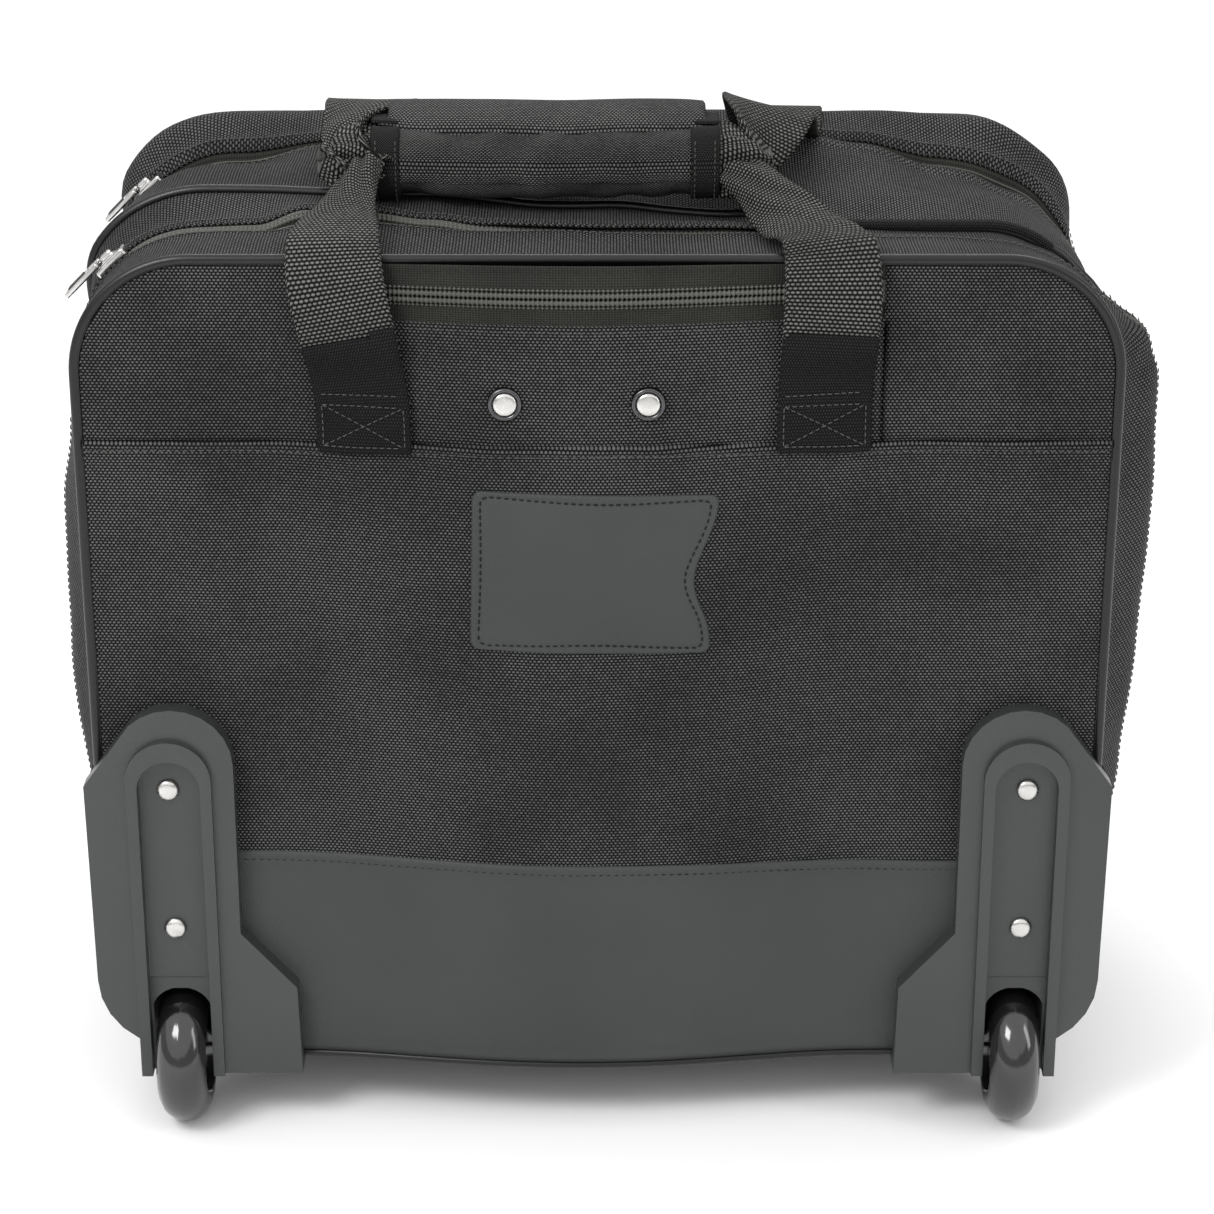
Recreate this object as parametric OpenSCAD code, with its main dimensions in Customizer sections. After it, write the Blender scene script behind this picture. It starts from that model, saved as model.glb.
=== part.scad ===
// Pilot rolling flight case: soft-sided case on two wheels with a telescopic tow handle.
// X runs across the width, -Y is the wheel side, +Y the front pocket side, Z = 0 is the floor.

/* [Case] */
// Width of the case at its piped edge
case_w = 434; // [380:1:480]
// Height of the top panel above the floor
case_top = 401; // [370:1:430]
// Height of the underside above the floor
case_bottom = 30; // [24:1:36]
// Radius of the top corners
top_corner_r = 50; // [35:1:60]
// Radius of the bottom corners
bottom_corner_r = 35; // [25:1:45]
// Thickness of the padded fabric walls
wall = 3; // [2:0.5:4]
// How far the middle section's sides bulge
side_bulge = 20; // [8:1:26]
// How far the wheel-side panel bulges over the tow handle
panel_bulge = 14.6; // [13:0.1:16]

/* [Sections] */
// Depth of the first compartment zip, measured from the wheel-side piping
rear_zip_at = 40; // [34:1:50]
// Depth of the padded divider
divider_at = 75; // [65:1:90]
// Depth of the main compartment zip
main_zip_at = 160; // [150:1:180]
// Depth of the front face
front_face_at = 235; // [220:1:245]
// Thickness of the front organiser pocket
pocket_depth = 15; // [10:1:20]

/* [Wheels] */
// Wheel radius
wheel_r = 32; // [28:1:36]
// Wheel width
wheel_w = 22; // [18:1:24]
// Distance of each wheel from the middle
wheel_x = 185; // [170:1:190]
// Axle diameter
axle_d = 6; // [5:0.5:8]

/* [Tow handle] */
// Middle of the tow handle across the case
handle_x = -8.5; // [-14:0.5:14]
// Half the distance between the handle's two legs
leg_x = 41; // [40:0.5:44]
// Lift of the grip when fully drawn out
handle_travel = 510; // [400:10:520]

/* [Carry handle] */
// Left end of the padded grip
grip_left = -95; // [-105:1:-85]
// Right end of the padded grip
grip_right = 51; // [45:1:60]
// Depth of the grip's middle, from the wheel-side piping
grip_at = 75; // [70:1:80]
// Height of the grip's middle
grip_z = 425; // [424:1:430]
// Width of the webbing
webbing_w = 38; // [30:1:40]

/* [Hidden] */
$fn = 48;

total_depth = 280;
wheel_at = 2;
rear_y = wheel_r - wheel_at - total_depth / 2;
half_w = case_w / 2;
rivet_x = [handle_x - 29.5, handle_x + 29.5];
rivet_z = 343;
bracket_half = 51.5;
bracket_back = -10.2;
stage_lap = 36;
outer_top = 339;
middle_top = 356;
plate_back = -1.75;
gap = 0.3;
big = 600;
tape_w = 5.4;
skin = 1.5;
bulge_reach = 130;
zip_low = 75;
seam_z = 322;
band_z = 133;
handle_zip_low = 376;
handle_zip_high = 398;
handle_zip_half = 118;
side_low = 60;
side_high = 70;
divider_t = 4;
piping_d = 4.6;
well_r = wheel_r + 5;
well_wall = 2.5;
well_half = wheel_w / 2 + 2.8;
front_top_r = 25;
front_bottom_r = 40;
slider_reach = 8;
foot_at = 142;
foot_x = 150;
grip_w = 38;
grip_h = 32;
fabric = "#26272a";
leatherette = "#4e5150";
plastic = "#484a49";
trim = "#1c1d1d";
webbing = "#35363a";
metal = "#c9c9c6";

// A depth measured from the wheel-side piping, as a Y coordinate
function depth(v) = rear_y + v;

// Shape of the wheel-side panel: it bulges where the tow handle lies behind it
function bulge(x, share) =
    let (u = min(1, abs(x - handle_x) / bulge_reach)) share * panel_bulge * pow(1 - u * u, 2);

// Extrudes an X-Z outline from one depth to another
module slab(from, to) {
    translate([0, depth(to), 0]) rotate([90, 0, 0]) linear_extrude(to - from) children();
}

// Extrudes a Y-Z outline from one X to another
module along_x(from, to) {
    translate([from, 0, 0]) rotate([90, 0, 90]) linear_extrude(to - from) children();
}

// Block given by its limits across, in depth and in height
module block(x, v, z) {
    translate([x[0], depth(v[0]), z[0]]) cube([x[1] - x[0], v[1] - v[0], z[1] - z[0]]);
}

// Cylinder along X at a depth and height
module rod_x(from, to, v, z, r) {
    translate([from, depth(v), z]) rotate([0, 90, 0]) cylinder(r = r, h = to - from);
}

// Cylinder along Y at an X and height
module rod_y(x, from, to, z, r) {
    translate([x, depth(to), z]) rotate([90, 0, 0]) cylinder(r = r, h = to - from);
}

// Outline of the case seen from the wheel side, drawn in by inset
module outline(inset = 0) {
    w = half_w - inset;
    top = case_top - inset;
    low = case_bottom + inset;
    rt = max(2, top_corner_r - inset);
    rb = max(2, bottom_corner_r - inset);
    translate([-w, low + rb]) square([2 * w, top - low - rt - rb]);
    translate([-w + rt, low + rb]) square([2 * (w - rt), top - low - rb]);
    translate([-w + rb, low]) square([2 * (w - rb), top - low - rt]);
    for (s = [-1, 1]) {
        translate([s * (w - rt), top - rt]) circle(rt);
        translate([s * (w - rb), low + rb]) circle(rb);
    }
}

// The same outline with the sides bulged out
module full_outline(inset = 0) {
    chord = 120;
    r = (chord * chord + side_bulge * side_bulge) / (2 * side_bulge);
    outline(inset);
    for (s = [-1, 1])
        intersection() {
            translate([s * (half_w + side_bulge - r), 228]) circle(r - inset, $fn = 96);
            translate([s > 0 ? 190 : -190 - 80, 100]) square([80, 260]);
        }
}

// Ring between two insets of the outline, from one depth to another
module ring(from, to, outer, inner) {
    slab(from, to) difference() {
        outline(outer);
        outline(inner);
    }
}

// Clears everything below a height
module cut_below(z) {
    block([-big, big], [-big, big], [-big, z]);
}

module cut_above(z) {
    block([-big, big], [-big, big], [z, big]);
}

// Space for the two wheel wells
module well_space() {
    for (s = [-1, 1])
        translate([s * wheel_x, 0, 0]) {
            rod_x(-well_half - 1, well_half + 1, wheel_at, wheel_r, well_r + well_wall + 0.8);
            block([-well_half - 1, well_half + 1], [-20, wheel_at + well_r + well_wall + 0.8], [0, wheel_r]);
        }
}

// Sheet that follows the bulge of the wheel-side panel between two heights
module bulged_sheet(low, high, share, x_from, x_to, t) {
    steps = 32;
    xs = [for (i = [0:steps]) x_from + (x_to - x_from) * i / steps];
    translate([0, 0, low]) linear_extrude(high - low) polygon(concat(
        [for (x = xs) [x, depth(-bulge(x, share) - t)]],
        [for (i = [steps:-1:0]) [xs[i], depth(-bulge(xs[i], share))]]
    ));
}

// Round cord on the outline: a top run and two top corners, and the sides down to a height
module piping(v, inset, low) {
    w = half_w - inset;
    z = case_top - inset;
    r = top_corner_r - inset;
    rod_x(-w + r, w - r, v, z, piping_d / 2);
    for (s = [-1, 1]) {
        if (low < z - r) translate([s * w, depth(v), low]) cylinder(d = piping_d, h = z - r - low);
        translate([s * (w - r), depth(v), z - r]) rotate([90, 0, 0]) rotate([0, 0, s > 0 ? 0 : 90])
            rotate_extrude(angle = 90) translate([r, 0]) circle(d = piping_d, $fn = 24);
    }
}

// ---- Wheel-side section ----

module rear_upper_panel() {
    color(fabric) difference() {
        intersection() {
            bulged_sheet(seam_z + 0.1, case_top, 1, -half_w, half_w, skin);
            slab(-30, 5) outline(3.2);
        }
        block([-handle_zip_half, handle_zip_half], [-30, 5], [handle_zip_low, big]);
        for (x = rivet_x) rod_y(x, -30, 5, rivet_z, 2.6);
    }
}

module rear_lower_panel() {
    color(fabric) bulged_sheet(band_z, seam_z, 1, -half_w + 3.2, half_w - 3.2, skin);
}

module rear_band() {
    color(leatherette) difference() {
        intersection() {
            bulged_sheet(case_bottom, band_z - 0.1, 1, -half_w, half_w, skin);
            slab(-30, 5) outline(0.5);
        }
        well_space();
    }
}

module back_board() {
    color("#3b3c3c") difference() {
        slab(5.2, 8) outline(wall + 0.4);
        well_space();
        for (x = rivet_x) rod_y(x, 0, 20, rivet_z, 2.1);
    }
}

module rear_gusset() {
    color(fabric) difference() {
        ring(5, rear_zip_at - tape_w - gap, 0, wall);
        well_space();
    }
}

module rear_piping() {
    color(trim) piping(0, 0.6, 180);
}

module zip_half(from, to) {
    color("#2f302c") difference() {
        ring(from, to, 0.4, 2);
        cut_below(zip_low);
    }
}

module rear_zip_inner_tape() {
    zip_half(rear_zip_at - tape_w, rear_zip_at - gap / 2);
}

module bottom_panel() {
    color(fabric) difference() {
        ring(rear_zip_at - tape_w, main_zip_at - 2.4, 0, wall);
        cut_above(side_low);
        well_space();
    }
}

module base_tray() {
    color("#3b3c3c") difference() {
        ring(8.4, main_zip_at - 3, wall + 0.4, 2 * wall + 0.4);
        cut_above(side_high);
        well_space();
    }
}

module skid_feet() {
    color(plastic) for (s = [-1, 1]) {
        translate([s * foot_x, depth(foot_at), 6]) cylinder(r1 = 12, r2 = 15, h = case_bottom - 6.1);
        translate([s * foot_x, depth(foot_at), 0]) cylinder(r1 = 9.5, r2 = 12, h = 6);
    }
}

// Outline of a wheel housing's plate, right-hand side
module housing_plate() {
    arch = [for (a = [180:-15:45]) [183 + 26 * cos(a), 178 + 26 * sin(a)]];
    corner = [for (a = [0:-15:-60]) [187 + 34 * cos(a), 74 + 34 * sin(a)]];
    polygon(concat([[132, 27], [133, 70], [157, 97]], arch, [[222, 168]], corner, [[203.5, 27]]));
}

// Round-topped slot outline round the wheel arch
module arch_slot(half, top) {
    translate([wheel_x, top - half]) circle(half);
    translate([wheel_x - half, 20]) square([2 * half, top - half - 20]);
}

module wheel_housing() {
    difference() {
        union() {
            slab(-11, plate_back) housing_plate();
            slab(-14, -10.9) difference() {
                arch_slot(18.5, 190);
                arch_slot(13.6, 181);
            }
            slab(plate_back, 30) difference() {
                intersection() {
                    housing_plate();
                    translate([half_w + 0.3, 78]) square([20, 90]);
                }
                translate([half_w + 4.2, 0]) square([20, big]);
            }
            block([132, 168.5], [plate_back, 44], [27, 29.8]);
            intersection() {
                rod_x(wheel_x - well_half, wheel_x + well_half, wheel_at, wheel_r, well_r + well_wall);
                block([100, 230], [-11, 60], [27, 80]);
            }
            block([wheel_x - well_half, wheel_x + well_half], [-skin, wheel_at + well_r + well_wall], [27, wheel_r]);
        }
        slab(-16, -7) arch_slot(13.6, 181);
        rod_x(wheel_x - wheel_w / 2 - 1.6, wheel_x + wheel_w / 2 + 1.6, wheel_at, wheel_r, well_r);
        block([wheel_x - wheel_w / 2 - 1.6, wheel_x + wheel_w / 2 + 1.6],
            [wheel_at - well_r - 12, wheel_at + well_r], [-1, wheel_r]);
        slab(-16, wheel_at - 12) arch_slot(wheel_w / 2 + 1.6, 71);
        cut_below(27);
        rod_x(100, 260, wheel_at, wheel_r, axle_d / 2);
        for (z = [98, 165]) rod_y(wheel_x + 1, -12, -1, z, 2.2);
    }
}

module left_wheel_housing() {
    color(plastic) mirror([1, 0, 0]) wheel_housing();
}

module right_wheel_housing() {
    color(plastic) wheel_housing();
}

module rivet(x, face, z, head_r) {
    rod_y(x, face - 2, face, z, head_r);
    rod_y(x, face, face + 4, z, 2);
}

module housing_rivets() {
    color(metal) for (s = [-1, 1], z = [98, 165]) rivet(s * (wheel_x + 1), -7, z, 5);
}

module axle(s) {
    reach = well_half + 0.1;
    color(metal) rod_x(s * wheel_x - reach, s * wheel_x + reach, wheel_at, wheel_r, axle_d / 2 - 0.005);
}

module left_axle() { axle(-1); }

module right_axle() { axle(1); }

// Puts a shape made round Z on a wheel's axis
module on_axle(s) {
    translate([s * wheel_x, depth(wheel_at), wheel_r]) rotate([0, 90, 0]) children();
}

module tyre() {
    color(trim) rotate_extrude($fn = 96) intersection() {
        translate([20, -wheel_w / 2]) square([20, wheel_w]);
        translate([wheel_r - 11.6, 0]) circle(11.6);
    }
}

module hub() {
    color(plastic) difference() {
        union() {
            translate([0, 0, -8]) cylinder(r = 10.5, h = 16);
            translate([0, 0, -3]) cylinder(r = 19.95, h = 6);
        }
        translate([0, 0, -9]) cylinder(r = 8, h = 18);
        for (i = [0:4]) rotate([0, 0, 72 * i]) translate([15.2, 0, -5]) cylinder(d = 6.6, h = 10);
    }
}

module bearings() {
    color(metal) for (z = [-7.9, 2.9]) translate([0, 0, z]) difference() {
        cylinder(r = 7.98, h = 5);
        translate([0, 0, -1]) cylinder(r = axle_d / 2 + 0.04, h = 7);
    }
}

module left_tyre() { on_axle(-1) tyre(); }

module left_hub() { on_axle(-1) hub(); }

module left_bearings() { on_axle(-1) bearings(); }

module right_tyre() { on_axle(1) tyre(); }

module right_hub() { on_axle(1) hub(); }

module right_bearings() { on_axle(1) bearings(); }

// ---- Tow handle ----

outer_leg = [18, 9];
middle_leg = [15.6, 6.6];
inner_leg = [13, 4.2];
leg_at = -6;

// The two legs of one stage, as upright bars of rectangular section
module legs(size, low, high) {
    for (s = [-1, 1]) translate([handle_x + s * leg_x - size[0] / 2, depth(leg_at) - size[1] / 2, low])
        cube([size[0], size[1], high - low]);
}

module handle_outer_tubes() {
    color(metal) difference() {
        legs(outer_leg, 46, outer_top);
        legs(middle_leg + [0.3, 0.3], 47.7, 400);
    }
}

module handle_top_bracket() {
    color(plastic) difference() {
        block([handle_x - bracket_half, handle_x + bracket_half], [bracket_back, 5], [322, 345]);
        legs(outer_leg, 320, outer_top);
        legs(middle_leg + [0.3, 0.3], outer_top - 1, 400);
        for (x = rivet_x) rod_y(x, -12, 8, rivet_z, 2.1);
    }
}

module handle_base_bracket() {
    color(plastic) block([handle_x - bracket_half, handle_x + bracket_half], [bracket_back, 5], [38, 46]);
}

module handle_rivets() {
    color(metal) for (x = rivet_x) {
        rod_y(x, -17.6, -15, rivet_z, 5.2);
        rod_y(x, -15, 8, rivet_z, 2);
    }
}

module handle_middle_stage() {
    color(metal) difference() {
        union() {
            legs(middle_leg, outer_top - stage_lap - handle_travel / 2, middle_top);
            block([handle_x - 48, handle_x + 48], [leg_at - 3.3, leg_at + 3.3], [346, middle_top]);
        }
        legs(inner_leg + [0.3, 0.3], middle_top - stage_lap - handle_travel / 2 - 0.3, 400);
    }
}

module handle_inner_stage() {
    color(metal) legs(inner_leg, middle_top - stage_lap - handle_travel / 2, 362);
}

module tow_grip() {
    color(plastic) difference() {
        block([handle_x - 50, handle_x + 50], [-10, 4.6], [357, 373]);
        legs(inner_leg, 350, 362);
        block([handle_x - 15, handle_x + 15], [-8, 2.4], [365, 380]);
    }
}

module release_button() {
    color(trim) block([handle_x - 14.7, handle_x + 14.7], [-7.7, 2.1], [368, 375.3]);
}

// ---- Handle pocket zip, card holder, laptop sleeve ----

module handle_zip_lower_tape() {
    color("#2f302c") bulged_sheet(handle_zip_low + 0.1, 386.9, 0.8, -handle_zip_half, handle_zip_half, 1.2);
}

module handle_zip_upper_tape() {
    color("#2f302c") difference() {
        bulged_sheet(387, handle_zip_high - 0.4, 0.45, -handle_zip_half, handle_zip_half, 1.2);
        block([-big, big], [-2.6, 5], [397, big]);
    }
}

module handle_zip_slider() {
    color(metal) block([-103, -91], [-8.1, -5.6], [383, 392]);
}

module handle_zip_puller() {
    color(metal) difference() {
        block([-124, -103.4], [-9.9, -8.2], [384, 391]);
        block([-121, -112], [-11, -7], [385.5, 389.5]);
    }
}

module tag_holder() {
    low = 233;
    high = 304;
    left = -53;
    right = 50.5;
    corner = 5;
    notch = [for (a = [-90:15:90]) [right - 9.5 * pow(cos(a), 2), 266 + a * 0.28]];
    color(leatherette) slab(-17.7, -16.3) polygon(concat(
        [[left, low + corner], [left + corner, low], [right - corner, low], [right, low + corner]], notch,
        [[right, high - corner], [right - corner, high], [left + corner, high], [left, high - corner]]
    ));
}

module laptop_sleeve() {
    color("#2b2c30") {
        block([-170, 170], [26, 30], [46, 300]);
        for (x = [-170, 166]) block([x, x + 4], [8.1, 26], [80, 300]);
        block([-150, 150], [8.1, 26], [42, 46]);
    }
}

// ---- Middle section ----

module middle_gusset() {
    color(fabric) difference() {
        slab(rear_zip_at + tape_w + gap, main_zip_at - tape_w - gap) difference() {
            full_outline(0);
            full_outline(wall);
        }
        cut_below(side_high);
    }
}

module divider_panel() {
    color("#2b2c30") difference() {
        slab(divider_at - divider_t / 2, divider_at + divider_t / 2) outline(2 * wall + 1);
        cut_below(45);
    }
}

module file_divider() {
    color("#2b2c30") difference() {
        slab(118, 120.5) outline(2 * wall + 3);
        cut_below(45);
        cut_above(330);
    }
}

module middle_piping() {
    color(trim) piping(divider_at, -piping_d / 2 - 0.1, case_top);
}

module rear_zip_outer_tape() {
    zip_half(rear_zip_at + gap / 2, rear_zip_at + tape_w);
}

module main_zip_inner_tape() {
    zip_half(main_zip_at - tape_w, main_zip_at - gap / 2);
}

// A zip slider on the left top corner; its long side runs along the zip
module on_corner(v) {
    translate([-half_w + top_corner_r, depth(v), case_top - top_corner_r]) rotate([0, -45, 0])
        translate([0, 0, top_corner_r]) children();
}

module corner_slider(v) {
    color(metal) on_corner(v) {
        translate([-slider_reach, -4.5, 0.3]) cube([2 * slider_reach, 9, 4]);
        translate([-3, -2, 4.3]) cube([6, 4, 3]);
    }
}

module corner_puller(v) {
    color(metal) on_corner(v) difference() {
        translate([-24, -5, 5.1]) cube([19.7, 10, 2.2]);
        translate([-21.8, -3, 0]) cube([9.4, 6, 20]);
        translate([-10, -2.4, 0]) cube([8, 4.8, 20]);
    }
}

module rear_zip_slider() { corner_slider(rear_zip_at); }

module rear_zip_puller() { corner_puller(rear_zip_at); }

module main_zip_slider() { corner_slider(main_zip_at); }

module main_zip_puller() { corner_puller(main_zip_at); }

// ---- Front section ----

// Side profile of the front section, rounded where it meets the front face
module front_profile(inset) {
    f = depth(front_face_at) - inset;
    low = case_bottom + inset;
    top = case_top - inset;
    rb = front_bottom_r - inset;
    rt = front_top_r - inset;
    square_from = depth(main_zip_at) - 20;
    translate([square_from, low]) square([f - rb - square_from, top - low]);
    translate([square_from, low + rb]) square([f - square_from, top - low - rb - rt]);
    translate([square_from, low + rb]) square([f - rt - square_from, top - low - rb]);
    translate([f - rb, low + rb]) circle(rb);
    translate([f - rt, top - rt]) circle(rt);
}

module front_shell(from, to) {
    difference() {
        intersection() {
            slab(from, to) outline(0);
            along_x(-big, big) front_profile(0);
        }
        intersection() {
            slab(from - 5, to + 5) outline(wall);
            along_x(-big, big) front_profile(wall);
        }
    }
}

module front_gusset() {
    color(fabric) front_shell(main_zip_at + tape_w + gap, 205);
}

module front_panel() {
    color(fabric) front_shell(205.1, front_face_at);
}

module main_zip_outer_tape() {
    color("#2f302c") difference() {
        ring(main_zip_at + gap / 2, main_zip_at + tape_w, 0.4, 2);
        cut_below(case_bottom + 1);
    }
}

module front_pocket() {
    low = 95;
    high = 318;
    color(fabric) difference() {
        block([-185, 185], [front_face_at + 0.1, front_face_at + pocket_depth], [low, high]);
        block([-182, 182], [front_face_at - 1, front_face_at + pocket_depth - 2.5], [low + 3, high + 5]);
    }
}

module pocket_zip() {
    color("#2f302c") block([-180, 180], [front_face_at + 0.2, front_face_at + pocket_depth - 2.6], [316, 318]);
}

module pocket_zip_slider() {
    color(metal) block([-171, -155], [front_face_at + 2, front_face_at + 10], [318.3, 322.3]);
}

module pocket_zip_puller() {
    color(metal) difference() {
        block([-152, -124], [front_face_at + 1.5, front_face_at + 10.5], [319.4, 321.6]);
        block([-146, -130], [front_face_at + 3.5, front_face_at + 8.5], [310, 330]);
    }
}

// ---- Carry handle ----

// Rounded section of the grip in the Y-Z plane
module grip_section(grow) {
    w = grip_w / 2 + grow;
    h = grip_h / 2 + grow;
    r = 13 + grow;
    translate([depth(grip_at), grip_z]) {
        square([2 * w, 2 * (h - r)], center = true);
        square([2 * (w - r), 2 * h], center = true);
        for (y = [-1, 1], z = [-1, 1]) translate([y * (w - r), z * (h - r)]) circle(r);
    }
}

module grip_pad() {
    color(fabric) along_x(grip_left, grip_right) difference() {
        grip_section(0);
        grip_section(-5);
        translate([depth(grip_at) - 9, grip_z]) square([18, 30]);
    }
}

module grip_flap() {
    color(fabric) along_x(grip_left + 6, grip_right - 6) difference() {
        grip_section(2.2);
        grip_section(0.4);
        translate([depth(grip_at) - 40, grip_z - 60]) square([80, 64]);
    }
}

// Bunched webbing at both ends of the grip, joined by the web inside it
module rear_loop() {
    color(webbing) {
        block([grip_left - 30, grip_right + 30], [64, 72], [421, 428]);
        for (x = [grip_left - 32, grip_right + 2]) block([x, x + 30], [56, 74], [411, 437]);
    }
}

module front_loop() {
    color(webbing) for (x = [grip_left - 32, grip_right + 2]) block([x, x + 30], [76, 94], [411, 439]);
}

// Flat strap that follows a line of depth-and-height points, leaning sideways by lean
module strap(points, x, lean) {
    last = len(points) - 2;
    color(webbing) multmatrix([[1, 0, lean, x - lean * case_top], [0, 1, 0, 0], [0, 0, 1, 0], [0, 0, 0, 1]])
        along_x(-webbing_w / 2, webbing_w / 2)
            for (i = [0:last]) hull() for (p = [points[i], points[i + 1]])
                translate([depth(p[0]), p[1]]) circle(1, $fn = 8);
}

rear_route = [[-10.2, 321], [-10.8, 372], [-11.2, 394], [-7, 404.5], [4, 409], [30, 412], [54, 418]];
front_bend = front_top_r + 1.7;
front_route = concat(
    [[96.5, 424], [120, 416], [170, 407]],
    [for (a = [90:-22.5:0]) [front_face_at - front_top_r + front_bend * cos(a),
        case_top - front_top_r + front_bend * sin(a)]],
    [[front_face_at + 1.7, 330]]
);

module rear_strap_left() { strap(rear_route, -107, -0.12); }

module rear_strap_right() { strap(rear_route, 91, 0); }

module front_strap_left() { strap(front_route, -112, 0); }

module front_strap_right() { strap(front_route, 84, 0); }

rear_upper_panel();
rear_lower_panel();
rear_band();
back_board();
rear_gusset();
rear_piping();
rear_zip_inner_tape();
bottom_panel();
base_tray();
skid_feet();
left_wheel_housing();
right_wheel_housing();
housing_rivets();
left_axle();
right_axle();
left_tyre();
left_hub();
left_bearings();
right_tyre();
right_hub();
right_bearings();
handle_outer_tubes();
handle_top_bracket();
handle_base_bracket();
handle_rivets();
handle_middle_stage();
handle_inner_stage();
tow_grip();
release_button();
tag_holder();
handle_zip_lower_tape();
handle_zip_upper_tape();
handle_zip_slider();
handle_zip_puller();
laptop_sleeve();
middle_gusset();
divider_panel();
file_divider();
middle_piping();
rear_zip_outer_tape();
main_zip_inner_tape();
rear_zip_slider();
rear_zip_puller();
main_zip_slider();
main_zip_puller();
front_gusset();
front_panel();
main_zip_outer_tape();
front_pocket();
pocket_zip();
pocket_zip_slider();
pocket_zip_puller();
grip_pad();
grip_flap();
rear_loop();
front_loop();
rear_strap_left();
rear_strap_right();
front_strap_left();
front_strap_right();
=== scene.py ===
"""Pilot rolling flight case: the looks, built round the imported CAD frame. Lengths here are in mm."""

import random
from math import atan2, ceil, cos, exp, hypot, pi, radians, sin, sqrt

import bpy
import bmesh
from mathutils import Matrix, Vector, noise


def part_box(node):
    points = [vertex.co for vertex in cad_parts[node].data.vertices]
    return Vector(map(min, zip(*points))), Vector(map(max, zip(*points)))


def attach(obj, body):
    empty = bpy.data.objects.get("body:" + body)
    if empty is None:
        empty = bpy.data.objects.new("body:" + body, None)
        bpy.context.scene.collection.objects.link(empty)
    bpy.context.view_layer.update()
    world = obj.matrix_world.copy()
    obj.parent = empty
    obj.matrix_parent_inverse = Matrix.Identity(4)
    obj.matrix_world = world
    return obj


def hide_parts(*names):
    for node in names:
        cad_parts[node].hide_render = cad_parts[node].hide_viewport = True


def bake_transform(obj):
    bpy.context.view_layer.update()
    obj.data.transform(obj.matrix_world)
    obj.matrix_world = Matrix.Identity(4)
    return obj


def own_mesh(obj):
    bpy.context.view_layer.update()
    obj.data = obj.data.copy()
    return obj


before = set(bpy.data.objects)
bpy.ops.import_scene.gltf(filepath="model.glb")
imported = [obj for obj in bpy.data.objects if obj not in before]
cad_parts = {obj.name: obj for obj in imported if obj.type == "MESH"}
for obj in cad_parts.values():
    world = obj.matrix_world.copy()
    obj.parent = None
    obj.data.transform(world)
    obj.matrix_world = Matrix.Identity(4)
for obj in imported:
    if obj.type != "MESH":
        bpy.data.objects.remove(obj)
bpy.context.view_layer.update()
random.seed(7)


def limits(node):
    lo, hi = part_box(node)
    return [c * 1000 for c in lo], [c * 1000 for c in hi]


def middle(node, axis):
    lo, hi = limits(node)
    return (lo[axis] + hi[axis]) / 2


def meeting(node, next_node):
    """Depth at which two zip tapes meet."""
    return (limits(node)[1][1] + limits(next_node)[0][1]) / 2 - Y0


# Depths (v) are measured from the plane of the wheel-side piping towards the front pocket.
PIPE_R = 2.3
Y0 = middle("rear_piping", 1)
PIPE_HI = limits("rear_piping")[1]
HALF = PIPE_HI[0] + 0.6 - PIPE_R
TOP = PIPE_HI[2] + 0.6 - PIPE_R
LOW = limits("rear_gusset")[0][2]
FRONT = limits("front_panel")[1][1] - Y0
ZIP1 = meeting("rear_zip_inner_tape", "rear_zip_outer_tape")
ZIP2 = meeting("main_zip_inner_tape", "main_zip_outer_tape")
DIVIDER = middle("divider_panel", 1) - Y0
HANDLE_X = middle("tow_grip", 0)
BULGE = -limits("rear_lower_panel")[0][1] + Y0 - 1.5
SEAM_Z = limits("rear_lower_panel")[1][2]
BAND_Z = limits("rear_lower_panel")[0][2]
HZIP_X = limits("handle_zip_lower_tape")[1][0]
HZIP_Z = limits("handle_zip_lower_tape")[1][2] + 0.5
WHEEL_X = middle("right_tyre", 0)
WHEEL_V = middle("right_tyre", 1) - Y0
WHEEL_Z = middle("right_tyre", 2)
RIVETS = (HANDLE_X - 29.5, HANDLE_X + 29.5)
RIVET_Z = middle("handle_rivets", 2)
TOP_R, LOW_R, FRONT_R = 50, 35, 25
EDGE_IN = 3.2  # how far the wheel-side panels end inside the case's outline, under the piping
EDGE_X = HALF - EDGE_IN
POCKET_LOW = 376  # lower edge of the handle pocket's opening
TAPE_OUT = 5.6  # distance from the middle of a zip to the folded edge beside it
TAPE_LAP = 0.6  # how far that edge lies over the tape
WALL = 1.6  # thickness of the sewn side walls' fabric
WELL_HALF, WELL_R = 16, 42  # half the width of a wheel's well, and its reach from the axle
HOUSING = (163, 207, 77)  # inner edge, outer edge and top of the band's cut-out behind a housing
PANEL = 1.4  # thickness of the wheel-side fabric
COIL_STEP = 0.42  # distance between points along a zip's coil


def knots(points, x):
    """Smooth steps through (position, value) points."""
    if x <= points[0][0]:
        return points[0][1]
    for (a, p), (b, q) in zip(points, points[1:]):
        if x <= b:
            t = (x - a) / (b - a)
            return p + (q - p) * t * t * (3 - 2 * t)
    return points[-1][1]


def wobble(x, y, z, size, amount):
    return amount * noise.noise(Vector((x / size, y / size, z / size)))


# ---- Shapes ----

def bulge(x):
    u = min(1.0, abs(x - HANDLE_X) / 130)
    return BULGE * (1 - u * u) ** 2


SHARE = [(30, 0.8), (44, 0.96), (60, 1), (370, 1), (380, 0.94), (387, 0.88), (397.5, 0.42)]
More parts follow.
